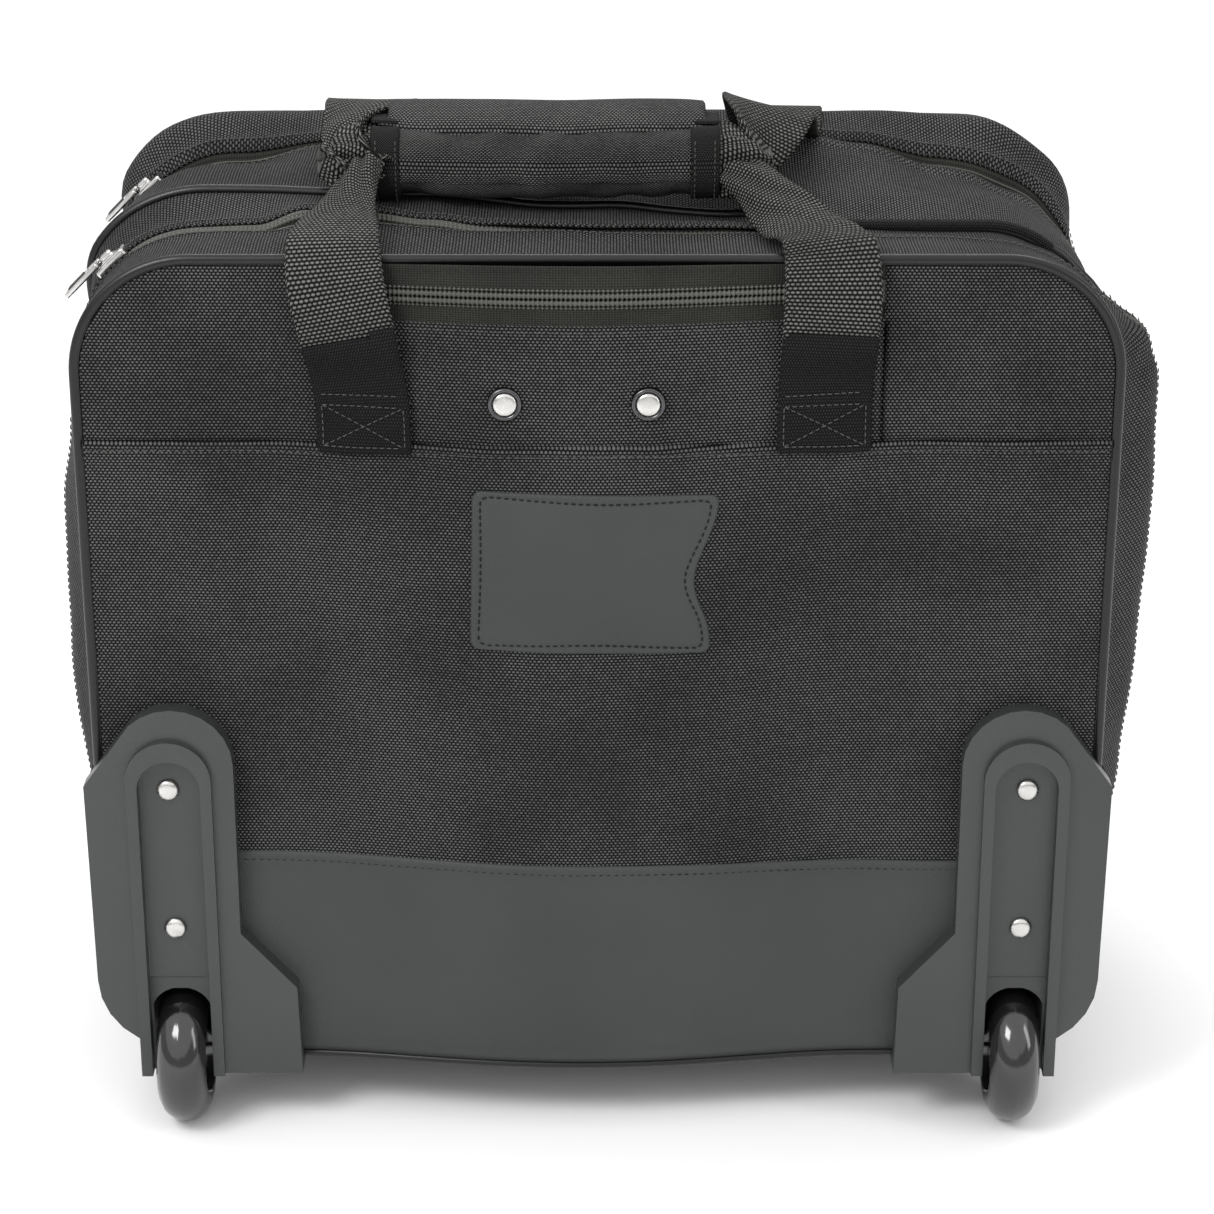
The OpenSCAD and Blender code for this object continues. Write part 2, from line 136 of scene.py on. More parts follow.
# Soft folds in the wheel-side fabric: (x, z) where each starts and ends, its height and its width
FOLDS = [((-100, 316), (-50, 215), 2.4, 12), ((-118, 312), (-92, 180), 1.4, 14),
         ((96, 316), (56, 205), 2.2, 13), ((110, 318), (140, 190), 1.8, 15),
         ((-165, 300), (-130, 160), 1.6, 18), ((172, 310), (160, 190), 1.5, 16),
         ((-38, 328), (-80, 296), 1.4, 8), ((21, 328), (70, 294), 1.4, 8), ((-20, 220), (40, 150), 1.4, 16)]


def panel_v(x, z):
    """Outer face of the fabric on the wheel side."""
    v = -1.5 - bulge(x) * knots(SHARE, z)
    calm = knots([(168, 1), (205, 0.15)], abs(x)) * knots([(60, 0.2), (110, 1)], z)
    v -= calm * (wobble(x, 3, z * 0.6, 55, 0.75) + wobble(x, 9, z, 21, 0.25))
    for (x0, z0), (x1, z1), height, width in FOLDS:
        dx, dz = x1 - x0, z1 - z0
        t = max(0.0, min(1.0, ((x - x0) * dx + (z - z0) * dz) / (dx * dx + dz * dz)))
        v -= height * exp(-(hypot(x - x0 - dx * t, z - z0 - dz * t) / width) ** 2) * (1 - 0.6 * t)
    for rx in RIVETS:
        d = hypot(x - rx, z - RIVET_Z)
        v += 1.3 * exp(-(d / 9.5) ** 2)
        v -= 0.35 * cos(6 * atan2(z - RIVET_Z, x - rx) + rx) * exp(-((d - 13) / 7) ** 2)
    return v


# How far the two sides bulge near the wheel side, as (height, bulge)
RIGHT_WING = [(60, 0), (110, 6), (160, 13), (215, 18), (300, 20), (340, 19.5), (355, 15.5), (366, 7),
              (378, 1)]
LEFT_WING = [(60, 0), (110, 3.5), (215, 11), (285, 11), (318, 6), (336, 2.2), (358, 1), (378, 0)]
# How high the stuffed top stands, as (x, height) at several depths; it slopes down to the right.
TOP_AT = [
    (0, [(0, 0)]),
    (34, [(-200, 0), (-140, 0), (-100, 4), (-40, 1), (60, -0.5), (123, -2), (184, -4), (210, -2)]),
    (40, [(-200, -1), (-142, -0.5), (-122, 6), (-95, 6), (-70, 3.5), (-47, 0.5), (11, -2), (42, -2),
          (123, -5.5), (184, -9), (212, -4)]),
    (46, [(-200, 1), (-144, 1.5), (-122, 8), (-95, 7.5), (-70, 5), (-47, 2), (11, 0.5), (42, 0.5),
          (123, -5), (184, -9), (212, -4)]),
    (75, [(-205, 8), (-166, 7), (-80, 5), (0, 0), (60, -4), (117, -8.5), (188, -11), (212, -5)]),
    (115, [(-210, 6), (-166, 8), (-80, 8), (0, 7), (60, 5), (117, 1), (167, -5), (200, -8), (215, -3)]),
    (152, [(-205, -2), (-162, -1), (-123, 8), (-60, 11), (0, 12), (60, 12), (88, 10), (118, 6),
           (153, -4), (187, -11), (212, -6)]),
    (160, [(-205, -8), (-162, -7), (-123, 4), (-60, 8), (0, 9), (60, 8), (88, 5), (118, 1),
           (153, -8), (187, -14), (212, -9)]),
    (168, [(-205, 5), (-162, 7), (-123, 10), (-60, 12), (0, 13), (60, 12), (88, 11), (118, 9),
           (153, 4), (187, 0), (212, 0)]),
    (188, [(-215, 12), (-190, 14.5), (-60, 14.5), (60, 14.5), (125, 14), (174, 12.5), (200, 9), (216, 6)]),
    (210, [(-215, 8), (-190, 10), (0, 11), (174, 9), (216, 4)]),
    (228, [(0, 3)]),
    (235, [(0, 0)]),
]


def top_lift(x, v):
    if v <= 0 or v >= TOP_AT[-1][0]:
        return 0.0
    for (v0, a), (v1, b) in zip(TOP_AT, TOP_AT[1:]):
        if v <= v1:
            t = (v - v0) / (v1 - v0)
            t = t * t * (3 - 2 * t)
            return knots(a, x) * (1 - t) + knots(b, x) * t


def swell(x, z, nx, nz, v):
    """How far the sewn walls stand out from the flat outline."""
    wing = knots([(2, 0), (33, 1), (48, 1), (88, 0)], v)
    lens = max(0.0, 1 - ((z - 232) / 128) ** 2) ** 1.1 * (19.5 if x > 0 else 12)
    lens *= knots([(20, 0), (75, 1), (120, 0.98), (160, 0.7), (205, 0.45), (232, 0)], v)
    out = nx * nx * (knots(RIGHT_WING if x > 0 else LEFT_WING, z) * wing + lens * (1 - wing))
    out += knots([(0.05, 0), (0.6, 1)], nz) * top_lift(x, v)
    calm = knots([(2, 0), (20, 1), (215, 1), (232, 0)], v) * knots([(45, 0), (120, 1)], z)
    out += calm * (wobble(x, v * 1.6, z, 62, 1.6) + wobble(x + 40, v * 2, z, 24, 0.5))
    return out


def rim(inset=0.0, step=4.0):
    """Points (x, z, nx, nz, arc) of the case's outline, anticlockwise from the middle of the underside."""
    w, top, low = HALF - inset, TOP - inset, LOW + inset
    rt, rb = max(2.0, TOP_R - inset), max(2.0, LOW_R - inset)
    out, arc = [], 0.0

    def line(x0, z0, x1, z1, nx, nz, length):
        n = max(1, round(length / step))
        out.extend((x0 + (x1 - x0) * i / n, z0 + (z1 - z0) * i / n, nx, nz) for i in range(n))

    def corner(cx, cz, r, start, full):
        n = max(3, round(full * pi / 2 / step))
        for i in range(n):
            a = radians(start + 90 * i / n)
            out.append((cx + r * cos(a), cz + r * sin(a), cos(a), sin(a)))

    flat, side = HALF - LOW_R, TOP - LOW - TOP_R - LOW_R
    line(0, low, w - rb, low, 0, -1, flat)
    corner(w - rb, low + rb, rb, -90, LOW_R)
    line(w, low + rb, w, top - rt, 1, 0, side)
    corner(w - rt, top - rt, rt, 0, TOP_R)
    line(w - rt, top, rt - w, top, 0, 1, 2 * (HALF - TOP_R))
    corner(rt - w, top - rt, rt, 90, TOP_R)
    line(-w, top - rt, -w, low + rb, -1, 0, side)
    corner(rb - w, low + rb, rb, 180, LOW_R)
    line(rb - w, low, 0, low, 0, -1, flat)
    ring = []
    for i, p in enumerate(out):
        if i:
            arc += hypot(p[0] - out[i - 1][0], p[1] - out[i - 1][1])
        ring.append(p + (arc,))
    return ring


def on_rim(p, v, lift=0.0):
    x, z, nx, nz, _ = p
    d = swell(x, z, nx, nz, v) + lift
    return Vector((x + nx * d, v, z + nz * d))


def rim_part(low, step=4.0):
    """The outline from a height on the right, over the top, down to the same height on the left."""
    return [p for p in rim(0, step) if p[1] >= low and p[3] > -0.01 or p[1] >= max(low, LOW + LOW_R)]


def smooth_path(points, step=2.0):
    """Catmull-Rom curve through tuples of any length, at about one point every step."""
    pts = [points[0]] + list(points) + [points[-1]]
    out = []
    for k in range(1, len(pts) - 2):
        p0, p1, p2, p3 = pts[k - 1:k + 3]
        n = max(2, ceil(sqrt(sum((a - b) ** 2 for a, b in zip(p1[:3], p2[:3]))) / step))
        for i in range(n):
            t = i / n
            out.append(tuple(0.5 * (2 * b + (c - a) * t + (2 * a - 5 * b + 4 * c - d) * t * t
                                    + (3 * b - a - 3 * c + d) * t ** 3)
                             for a, b, c, d in zip(p0, p1, p2, p3)))
    out.append(tuple(points[-1]))
    return out


# A thread's rings: share of its length, height and size in radii
THREAD_RINGS = ((-0.5, -0.35, 0.35), (-0.34, 0.25, 0.9), (0, 0.5, 1), (0.34, 0.25, 0.9), (0.5, -0.35, 0.35))


class Piece:
    """Collects meshes given as (x, v, z) in mm, and makes one object that rides on one body."""

    def __init__(self):
        self.verts, self.faces, self.cloth = [], [], []

    def add(self, verts, faces, cloth=None):
        n = len(self.verts)
        self.verts += verts
        self.cloth += cloth if cloth else [(p[0] + p[1] * 0.7, p[2]) for p in verts]
        self.faces += [tuple(i + n for i in f) for f in faces]
        return self

    def sheet(self, grid, thick, cloth, keep=None, closed=False, side=1):
        """A fabric sheet with rounded edges. The grid is its middle; side says which way it faces."""
        nu, nv = len(grid), len(grid[0])
        rows = nu if closed else nu - 1
        normals = {}
        for i in range(nu):
            for j in range(nv):
                a = grid[(i + 1) % nu if closed else min(i + 1, nu - 1)][j]
                b = grid[(i - 1) % nu if closed else max(i - 1, 0)][j]
                c, d = grid[i][min(j + 1, nv - 1)], grid[i][max(j - 1, 0)]
                n = (a - b).cross(c - d)
                normals[i * nv + j] = side * (n.normalized() if n.length > 1e-9 else Vector((0, -1, 0)))
        mid = [p for row in grid for p in row]
        uv = [c for row in cloth for c in row]
        total = nu * nv
        verts = [p + normals[k] * thick / 2 for k, p in enumerate(mid)]
        verts += [p - normals[k] * thick / 2 for k, p in enumerate(mid)]
        faces, edges = [], {}
        for i in range(rows):
            for j in range(nv - 1):
                if keep and not keep(i, j):
                    continue
                q = [i * nv + j, (i + 1) % nu * nv + j, (i + 1) % nu * nv + j + 1, i * nv + j + 1]
                if side < 0:
                    q.reverse()
                faces.append(tuple(q))
                faces.append(tuple(total + k for k in reversed(q)))
                for a, b in zip(q, q[1:] + q[:1]):
                    edges[(a, b)] = 1
        rimmed = {}
        for a, b in edges:
            if (b, a) not in edges:
                out = (mid[b] - mid[a]).cross(normals[a])
                for k in (a, b):
                    rimmed.setdefault(k, Vector()).__iadd__(out.normalized() if out.length > 1e-9 else out)
        index = {}
        for k, out in rimmed.items():
            index[k] = len(verts)
            verts.append(mid[k] + (out.normalized() if out.length > 1e-9 else out) * thick * 0.45)
            rimmed[k] = (uv[k][0] + thick * 0.6, uv[k][1] + thick * 0.6)
        for a, b in edges:
            if (b, a) not in edges:
                faces.append((b, a, index[a], index[b]))
                faces.append((index[b], index[a], total + a, total + b))
        return self.add(verts, faces, uv + uv + [rimmed[k] for k in index])

    def tube(self, path, radius, sides=10, closed=False, squashed=1.0):
        """A round bar along a path; radius may be a function of the distance along it."""
        path = [Vector(p[:3]) for p in path]
        n, verts, uv, arc = len(path), [], [], 0.0
        up = None
        for i, p in enumerate(path):
            after = path[(i + 1) % n] if closed else path[min(i + 1, n - 1)]
            t = after - (path[i - 1] if closed or i else path[0])
            t.normalize()
            if up is None:
                up = t.orthogonal()
            up = (up - t * up.dot(t)).normalized()
            if i:
                arc += (p - path[i - 1]).length
            across = t.cross(up)
            r = radius(arc) if callable(radius) else radius
            for k in range(sides):
                a = 2 * pi * k / sides
                verts.append(p + up * (r * cos(a)) + across * (r * squashed * sin(a)))
                uv.append((arc, r * a))
        faces = []
        for i in range(n if closed else n - 1):
            for k in range(sides):
                a, b = i * sides + k, i * sides + (k + 1) % sides
                c, d = (i + 1) % n * sides + (k + 1) % sides, (i + 1) % n * sides + k
                faces.append((a, b, c, d))
        if not closed:
            faces.append(tuple(reversed(range(sides))))
            faces.append(tuple((n - 1) * sides + k for k in range(sides)))
        return self.add(verts, faces, uv)

    def stitches(self, path, normal, pitch=3.2, length=2.3, r=0.32):
        """A row of separate threads, each dipping into the fabric at its ends."""
        path = [Vector(p[:3]) for p in path]
        arcs = [0.0]
        for a, b in zip(path, path[1:]):
            arcs.append(arcs[-1] + (b - a).length)
        at = pitch / 2
        k = 0
        while at + length / 2 < arcs[-1]:
            while arcs[k + 1] < at:
                k += 1
            f = (at - arcs[k]) / max(1e-6, arcs[k + 1] - arcs[k])
            c = path[k].lerp(path[k + 1], f)
            t = (path[k + 1] - path[k]).normalized()
            n = normal(c) if callable(normal) else normal
            n = Vector(n).normalized()
            t = (t - n * t.dot(n)).normalized()
            t = (t + t.cross(n) * random.uniform(-0.06, 0.06)).normalized()
            side = t.cross(n)
            verts, faces = [], []
            for s, h, w in THREAD_RINGS:
                for q in range(5):
                    a = 2 * pi * q / 5
                    verts.append(c + t * (s * length) + n * (r * (h + w * cos(a))) + side * (r * w * sin(a)))
            for i in range(4):
                for q in range(5):
                    faces.append((i * 5 + q, i * 5 + (q + 1) % 5, i * 5 + 5 + (q + 1) % 5, i * 5 + 5 + q))
            faces.append((4, 3, 2, 1, 0))
            faces.append((20, 21, 22, 23, 24))
            self.add(verts, faces)
            at += pitch * random.uniform(0.96, 1.04)
        return self

    def revolve(self, centre, axis, profile, steps=48, start=(0, 0, 1)):
        """Turns (radius, distance along the axis) points round an axis."""
        axis = Vector(axis).normalized()
        u = Vector(start)
        w = axis.cross(u)
        verts, n = [], len(profile)
        for k in range(steps):
            a = 2 * pi * k / steps
            d = u * cos(a) + w * sin(a)
            verts += [Vector(centre) + axis * h + d * r for r, h in profile]
        faces = []
        for k in range(steps):
            for i in range(n - 1):
                a, b = k * n + i, (k + 1) % steps * n + i
                faces.append((a, b, b + 1, a + 1))
        return self.add(verts, faces)

    def done(self, name, body, slot, material, replaces=(), move=True, smooth=True):
        mesh = bpy.data.meshes.new(name)
        mesh.from_pydata([(p[0] / 1000, (p[1] + Y0) / 1000, p[2] / 1000) for p in self.verts], [], self.faces)
        layer = mesh.attributes.new("cloth", "FLOAT_VECTOR", "POINT")
        for i, c in enumerate(self.cloth):
            layer.data[i].vector = (c[0] / 1000, c[1] / 1000, 0)
        bm = bmesh.new()
        bm.from_mesh(mesh)
        bmesh.ops.remove_doubles(bm, verts=bm.verts, dist=2e-6)
        bmesh.ops.dissolve_degenerate(bm, dist=1e-6, edges=bm.edges)
        bm.to_mesh(mesh)
        bm.free()
        for p in mesh.polygons:
            p.use_smooth = smooth
        obj = bpy.data.objects.new(name, mesh)
        bpy.context.collection.objects.link(obj)
        mesh.materials.append(material)
        if replaces:
            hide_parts(*replaces)
        if move:
            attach(obj, body)
        return obj


# ---- Materials ----

class Nodes:
    """Short forms for building a material's nodes."""

    def __init__(self, name, roughness, metallic=0.0, specular=0.5, **sockets):
        self.mat = bpy.data.materials.new(name)
        self.mat.use_nodes = True
        self.tree = self.mat.node_tree
        self.shader = self.tree.nodes["Principled BSDF"]
        self.shader.inputs["Metallic"].default_value = metallic
        self.shader.inputs["Roughness"].default_value = roughness
        self.shader.inputs["Specular IOR Level"].default_value = specular
        for key, value in sockets.items():
            self.shader.inputs[key.replace("_", " ")].default_value = value

    def node(self, kind, *inputs, **props):
        n = self.tree.nodes.new(kind)
        for key, value in props.items():
            setattr(n, key, value)
        for i, value in enumerate(inputs):
            if value is None:
                continue
            if isinstance(value, bpy.types.NodeSocket):
                self.tree.links.new(value, n.inputs[i])
            else:
                n.inputs[i].default_value = value
        return n

    def math(self, op, *inputs):
        return self.node("ShaderNodeMath", *inputs, operation=op).outputs[0]

    def ramp(self, value, a, b, low=0.0, high=1.0):
        n = self.node("ShaderNodeMapRange", value, a, b, low, high, interpolation_type="SMOOTHSTEP")
        return n.outputs[0]

    def mix(self, factor, a, b):
        n = self.node("ShaderNodeMix", data_type="RGBA")
        for i, value in ((0, factor), (6, a), (7, b)):
            if isinstance(value, bpy.types.NodeSocket):
                self.tree.links.new(value, n.inputs[i])
            elif i == 0:
                n.inputs[i].default_value = value
            else:
                n.inputs[i].default_value = (*value, 1)
        return n.outputs[2]

    def noise(self, vector, scale, detail=2.0):
        return self.node("ShaderNodeTexNoise", vector, None, scale, detail).outputs[0]

    def cloth(self):
        place = self.node("ShaderNodeAttribute", attribute_name="cloth").outputs[1]
        xyz = self.node("ShaderNodeSeparateXYZ", place)
        return xyz.outputs[0], xyz.outputs[1]

    def place(self):
        return self.node("ShaderNodeTexCoord").outputs[3]

    def done(self, colour, rough=None, height=None, distance=0.0003, strength=1.0):
        link = self.tree.links.new
        if isinstance(colour, tuple):
            self.shader.inputs["Base Color"].default_value = (*colour, 1)
        else:
            link(colour, self.shader.inputs["Base Color"])
        if rough is not None:
            link(rough, self.shader.inputs["Roughness"])
        if height is not None:
            bump = self.node("ShaderNodeBump")
            bump.inputs["Strength"].default_value = strength
            bump.inputs["Distance"].default_value = distance
            link(height, bump.inputs["Height"])
            link(bump.outputs[0], self.shader.inputs["Normal"])
        return self.mat


def woven(name, across, along, base, dot, rough=0.6, size=(0.34, 0.42), depth=0.0003):
    """Basket weave: rows of floats whose light colour is painted sheen of the glossy threads, each row
    shifted by half a pitch.
    """
    m = Nodes(name, rough, specular=0.05, Sheen_Weight=0.01, Sheen_Roughness=0.4)
    x, y = m.cloth()
    place = m.place()
    row = m.math("DIVIDE", y, along)
    line = m.math("FLOOR", row)
    shift = m.math("MULTIPLY", m.math("MODULO", line, 2.0), 0.5)
    col = m.math("ADD", m.math("DIVIDE", x, across), shift)
    fx = m.math("SUBTRACT", m.math("FRACT", col), 0.5)
    fy = m.math("SUBTRACT", m.math("FRACT", row), 0.5)
    d = m.math("SQRT", m.math("ADD", m.math("POWER", m.math("DIVIDE", fx, size[0]), 2.0),
                              m.math("POWER", m.math("DIVIDE", fy, size[1]), 2.0)))
    thread = m.ramp(d, 1.15, 0.45)
    number = m.node("ShaderNodeCombineXYZ", m.math("FLOOR", col), line, 0.0).outputs[0]
    cell = m.node("ShaderNodeTexWhiteNoise", number, noise_dimensions="3D").outputs[0]
    slow = m.noise(place, 14.0, 3.0)
    fine = m.noise(place, 900.0, 2.0)
    float_sheen = m.math("MULTIPLY", thread, m.math("ADD", 0.74, m.math("MULTIPLY", cell, 0.36)))
    float_sheen = m.math("MULTIPLY", float_sheen, m.ramp(slow, 0.3, 0.7, 0.72, 1.2))
    float_sheen = m.math("MULTIPLY", float_sheen, m.ramp(fine, 0.25, 0.75, 0.85, 1.1))
    # The dot colour laid on the floats is painted sheen of the glossy threads, not a thread colour of their
    # own.
    colour = m.mix(float_sheen, base, dot)
    height = m.math("ADD", thread, m.math("MULTIPLY", fine, 0.35))
    return m.done(colour, m.ramp(fine, 0.3, 0.7, rough - 0.08, rough + 0.1), height, depth)


def grained(name, colour, scale, rough, depth, spread=0.12, specular=0.5):
    """Moulded or coated surface with a fine grain and slow changes of shade."""
    m = Nodes(name, rough, specular=specular)
    place = m.place()
    cells = m.node("ShaderNodeTexVoronoi", place, None, scale, feature="F1").outputs[0]
    slow = m.noise(place, 11.0, 3.0)
    fine = m.noise(place, scale * 1.7, 2.0)
    dark = tuple(c * (1 - spread) for c in colour)
    light = tuple(c * (1 + spread) for c in colour)
    tone = m.mix(m.ramp(slow, 0.3, 0.7), dark, light)
    tone = m.mix(m.ramp(fine, 0.35, 0.75, 0.0, 0.35), tone, tuple(c * 1.25 for c in colour))
    height = m.math("ADD", cells, m.math("MULTIPLY", fine, 0.6))
    return m.done(tone, m.ramp(fine, 0.3, 0.7, rough - 0.07, rough + 0.08), height, depth)


def metal(name, colour, rough, scratch=220.0):
    m = Nodes(name, rough, metallic=1.0)
    place = m.place()
    fine = m.noise(place, scratch, 4.0)
    tone = m.mix(m.ramp(fine, 0.35, 0.7), tuple(c * 0.86 for c in colour), colour)
    return m.done(tone, m.ramp(fine, 0.3, 0.75, rough - 0.05, rough + 0.1), fine, 0.00004)


def tape(name, base, light, pitch=0.0009):
    """Close-woven zip tape: fine ribs across its width."""
    m = Nodes(name, 0.7, specular=0.15, Sheen_Weight=0.04, Sheen_Roughness=0.5)
    x, y = m.cloth()
    rib = m.math("PINGPONG", m.math("DIVIDE", x, pitch), 1.0)
    weft = m.math("PINGPONG", m.math("DIVIDE", y, pitch * 0.8), 1.0)
    slow = m.noise(m.place(), 30.0, 3.0)
    fine = m.noise(m.place(), 1400.0, 3.0)
    height = m.math("ADD", m.math("MULTIPLY", rib, weft), m.math("MULTIPLY", fine, 0.8))
    tone = m.mix(m.ramp(m.math("MULTIPLY", height, m.ramp(slow, 0.2, 0.8, 0.8, 1.15)), 0.2, 1.3), base, light)
    return m.done(tone, None, height, 0.00012)


# Base colour of the plain nylon, the light colour of its floats (painted sheen of the glossy threads, as in
# every woven material below), and the size of one float in it
NYLON_BASE, NYLON_FLOAT_SHEEN, FLOAT = (0.0022, 0.0023, 0.0027), (0.105, 0.105, 0.103), (0.42, 0.44)
NYLON = woven("ballistic nylon", 0.0018, 0.0013, NYLON_BASE, NYLON_FLOAT_SHEEN, size=FLOAT)
NYLON_FINE = woven("grip nylon", 0.0016, 0.0012, (0.0022, 0.0022, 0.0026), (0.125, 0.125, 0.122), size=FLOAT)
WEB = woven("webbing", 0.0021, 0.0017, (0.004, 0.004, 0.0042), (0.15, 0.15, 0.14), size=(0.46, 0.38),
            depth=0.0005)
# A much darker copy of the webbing: its dark colour is partly painted shade, for the shade on the straps'
# doubled lower ends.
WEB_DOUBLED_SHADE = woven("webbing doubled in painted shade", 0.0012, 0.0014, (0.006, 0.006, 0.0066), (0.026, 0.026, 0.027))
BINDING = woven("binding tape", 0.0011, 0.0012, (0.006, 0.006, 0.006), (0.038, 0.038, 0.037), depth=0.0002)
LEATHER = grained("leatherette", (0.037, 0.040, 0.039), 1100, 0.55, 0.00012, 0.1, 0.3)
PLASTIC = grained("moulded plastic", (0.030, 0.033, 0.032), 1900, 0.36, 0.00005, 0.08, 0.55)
HUB = grained("hub plastic", (0.03, 0.031, 0.031), 1900, 0.42, 0.00005, 0.08, 0.4)
BUTTON = grained("button plastic", (0.012, 0.012, 0.0125), 1900, 0.4, 0.00004, 0.08, 0.4)
BOARD = grained("stiff board", (0.02, 0.02, 0.021), 700, 0.8, 0.0002, 0.1, 0.2)
PIPING = grained("piping cover", (0.0035, 0.0035, 0.0035), 2600, 0.32, 0.00002, 0.15, 0.42)
RUBBER = grained("wheel tyre", (0.006, 0.006, 0.0063), 1500, 0.12, 0.000004, 0.1, 0.9)
TAPE = tape("zip tape", (0.006, 0.006, 0.0052), (0.034, 0.034, 0.028), 0.0006)
COIL = grained("zip coil", (0.065, 0.065, 0.057), 2500, 0.38, 0.00001, 0.1, 0.4)
CHROME = metal("chromed zinc", (0.62, 0.61, 0.60), 0.14)
RIVET = metal("rivet metal", (0.66, 0.65, 0.63), 0.26)
RIVET_DARK = metal("rivet ring", (0.10, 0.10, 0.105), 0.24)
STEEL = metal("axle steel", (0.5, 0.5, 0.51), 0.3)
ALLOY = metal("anodised alloy", (0.42, 0.43, 0.44), 0.34, 90.0)
THREAD = grained("thread", (0.06, 0.06, 0.057), 4000, 0.6, 0.00002, 0.12, 0.3)
THREAD_DARK = grained("dark thread", (0.006, 0.006, 0.006), 4000, 0.6, 0.00002, 0.12, 0.2)
LINING = woven("lining", 0.0008, 0.0008, (0.012, 0.0125, 0.016), (0.03, 0.031, 0.036), depth=0.0001)


# ---- Wheel-side section ----

def corner_rise(x, r):
    """How far a rounded corner of the outline has risen at x, inside the piping."""
    inner = r - EDGE_IN
    return sqrt(max(0, inner * inner - (abs(x) - HALF + r) ** 2))


def upper_top(x):
    """Height of the wheel-side panel's upper edge."""
    return TOP - EDGE_IN if abs(x) <= HALF - TOP_R else TOP - TOP_R + corner_rise(x, TOP_R)


def panel_columns(step):
    reach = HALF - TOP_R
    xs = {round(-reach + step * i, 3) for i in range(int(2 * reach / step) + 1)} | {reach, -HZIP_X, HZIP_X}
    for k in range(1, 16):
        xs |= {s * (reach + (TOP_R - EDGE_IN) * sin(radians(6 * k))) for s in (-1, 1)}
    return sorted(xs)


def build_upper_panel():
    xs = panel_columns(3.0)
    rows = [SEAM_Z - 6 + 3 * i for i in range(int((POCKET_LOW - SEAM_Z + 6) / 3) + 1)]
    rows += [POCKET_LOW, 379, 382, 386, 390, 394, 397.8]
    rows = sorted({round(r, 2) for r in rows})
    low, high = rows[0], rows[-1]
    grid, cloth = [], []
    for x in xs:
        top = upper_top(x)
        t = (top - low) / (high - low)
        line = []
        for z in rows:
            z = low + (z - low) * t
            tuck = knots([(HALF - 16, 0), (EDGE_X, 1)], abs(x)) + knots([(top - 9, 0), (top, 1)], z)
            line.append(Vector((x, panel_v(x, z) + 0.5 * min(1, tuck) + 0.7, z)))
        grid.append(line)
        cloth.append([(x, z) for _, _, z in line])
    cut = rows.index(POCKET_LOW)
    Piece().sheet(grid, PANEL, cloth, lambda i, j: j < cut or not -HZIP_X <= xs[i] < HZIP_X, side=-1).done(
        "rear_upper_fabric", "rear_section", "ballistic_nylon", NYLON, ["rear_upper_panel"])


PANEL_XS = [-EDGE_X + 2 * EDGE_X * i / 108 for i in range(109)]
# The folded edge of a lapped seam, as (distance above the seam, height over the panel)
SEAM_FOLD = [(-9, 0.1), (-5.5, 0.7), (-3.4, 0.45), (-2, 1.2), (-0.8, 1.5), (0.1, 1.2), (0.5, 0.3),
             (0.2, -0.8)]
BAND_FOLD = [(-6, 0.1), (-4.4, 0.5), (-3.2, 0.3), (-2, 0.8), (-0.8, 1.0), (0, 0.8), (0.35, 0.1), (0.2, -0.7)]


def build_lower_panel(threads):
    def seam(x):
        return SEAM_Z + wobble(x, 0, 0, 46, 0.7) + 2.2 * bulge(x) / BULGE

    flat = [(BAND_Z - 14 + 4 * i, 0.0) for i in range(int((SEAM_Z - 9 - BAND_Z + 14) / 4))]
    grid = []
    for x in PANEL_XS:
        edge = 0.5 * knots([(HALF - 16, 0), (EDGE_X, 1)], abs(x))
        rows = flat + [(seam(x) + d, lift) for d, lift in SEAM_FOLD]
        grid.append([Vector((x, panel_v(x, z) - lift + edge, z)) for z, lift in rows])
    cloth = [[(p.x + 0.4, p.z) for p in line] for line in grid]
    Piece().sheet(grid, PANEL, cloth, side=-1).done(
        "rear_lower_fabric", "rear_section", "ballistic_nylon", NYLON, ["rear_lower_panel"])
    row = [(x, panel_v(x, SEAM_Z) - 1.15, seam(x) - 3.4) for x in PANEL_XS]
    threads.stitches(row, (0, -1, 0), 3.4, 2.5, 0.36)


def build_band(dark_threads):
    def band_top(x):
        return BAND_Z - 3.0 - 3.4 * x / HALF + 1.8 * bulge(x) / BULGE + wobble(x, 5, 0, 90, 0.5)

    grid = []
    for x in PANEL_XS:
        floor_z = LOW + EDGE_IN if abs(x) < HALF - LOW_R else LOW + LOW_R - corner_rise(x, LOW_R)
        line = []
        for k in range(23):
            z = floor_z + (band_top(x) - 9 - floor_z) * k / 22
            roll = knots([(floor_z, 2.6), (floor_z + 3, 0.8), (floor_z + 8, 0)], z)
            line.append(Vector((x, panel_v(x, z) + roll - 0.1, z)))
        for d, lift in BAND_FOLD:
            z = band_top(x) + d
            line.append(Vector((x, panel_v(x, z) - lift - 0.3, z)))
        grid.append(line)
    cloth = [[(p.x, p.z) for p in line] for line in grid]

    def clear(i, j):
        inner, outer, top = HOUSING
        return not (inner < abs(PANEL_XS[i]) < outer and grid[i][j].z < top)

    Piece().sheet(grid, PANEL, cloth, keep=clear, side=-1).done(
        "rear_band_leather", "rear_section", "leatherette", LEATHER, ["rear_band"])
    row = [(x, panel_v(x, BAND_Z) - 1.0, band_top(x) - 3.2) for x in PANEL_XS]
    dark_threads.stitches(row, (0, -1, 0), 3.4, 2.3, 0.4)
    edge = [(x, panel_v(x, LOW + 2) + 2.6, LOW + 1.2) for x in span(-HALF + 62, HALF - 62, 4)]
    Piece().tube(edge, 1.7, 10).done("band_lower_roll", "rear_section", "leatherette", PIPING)


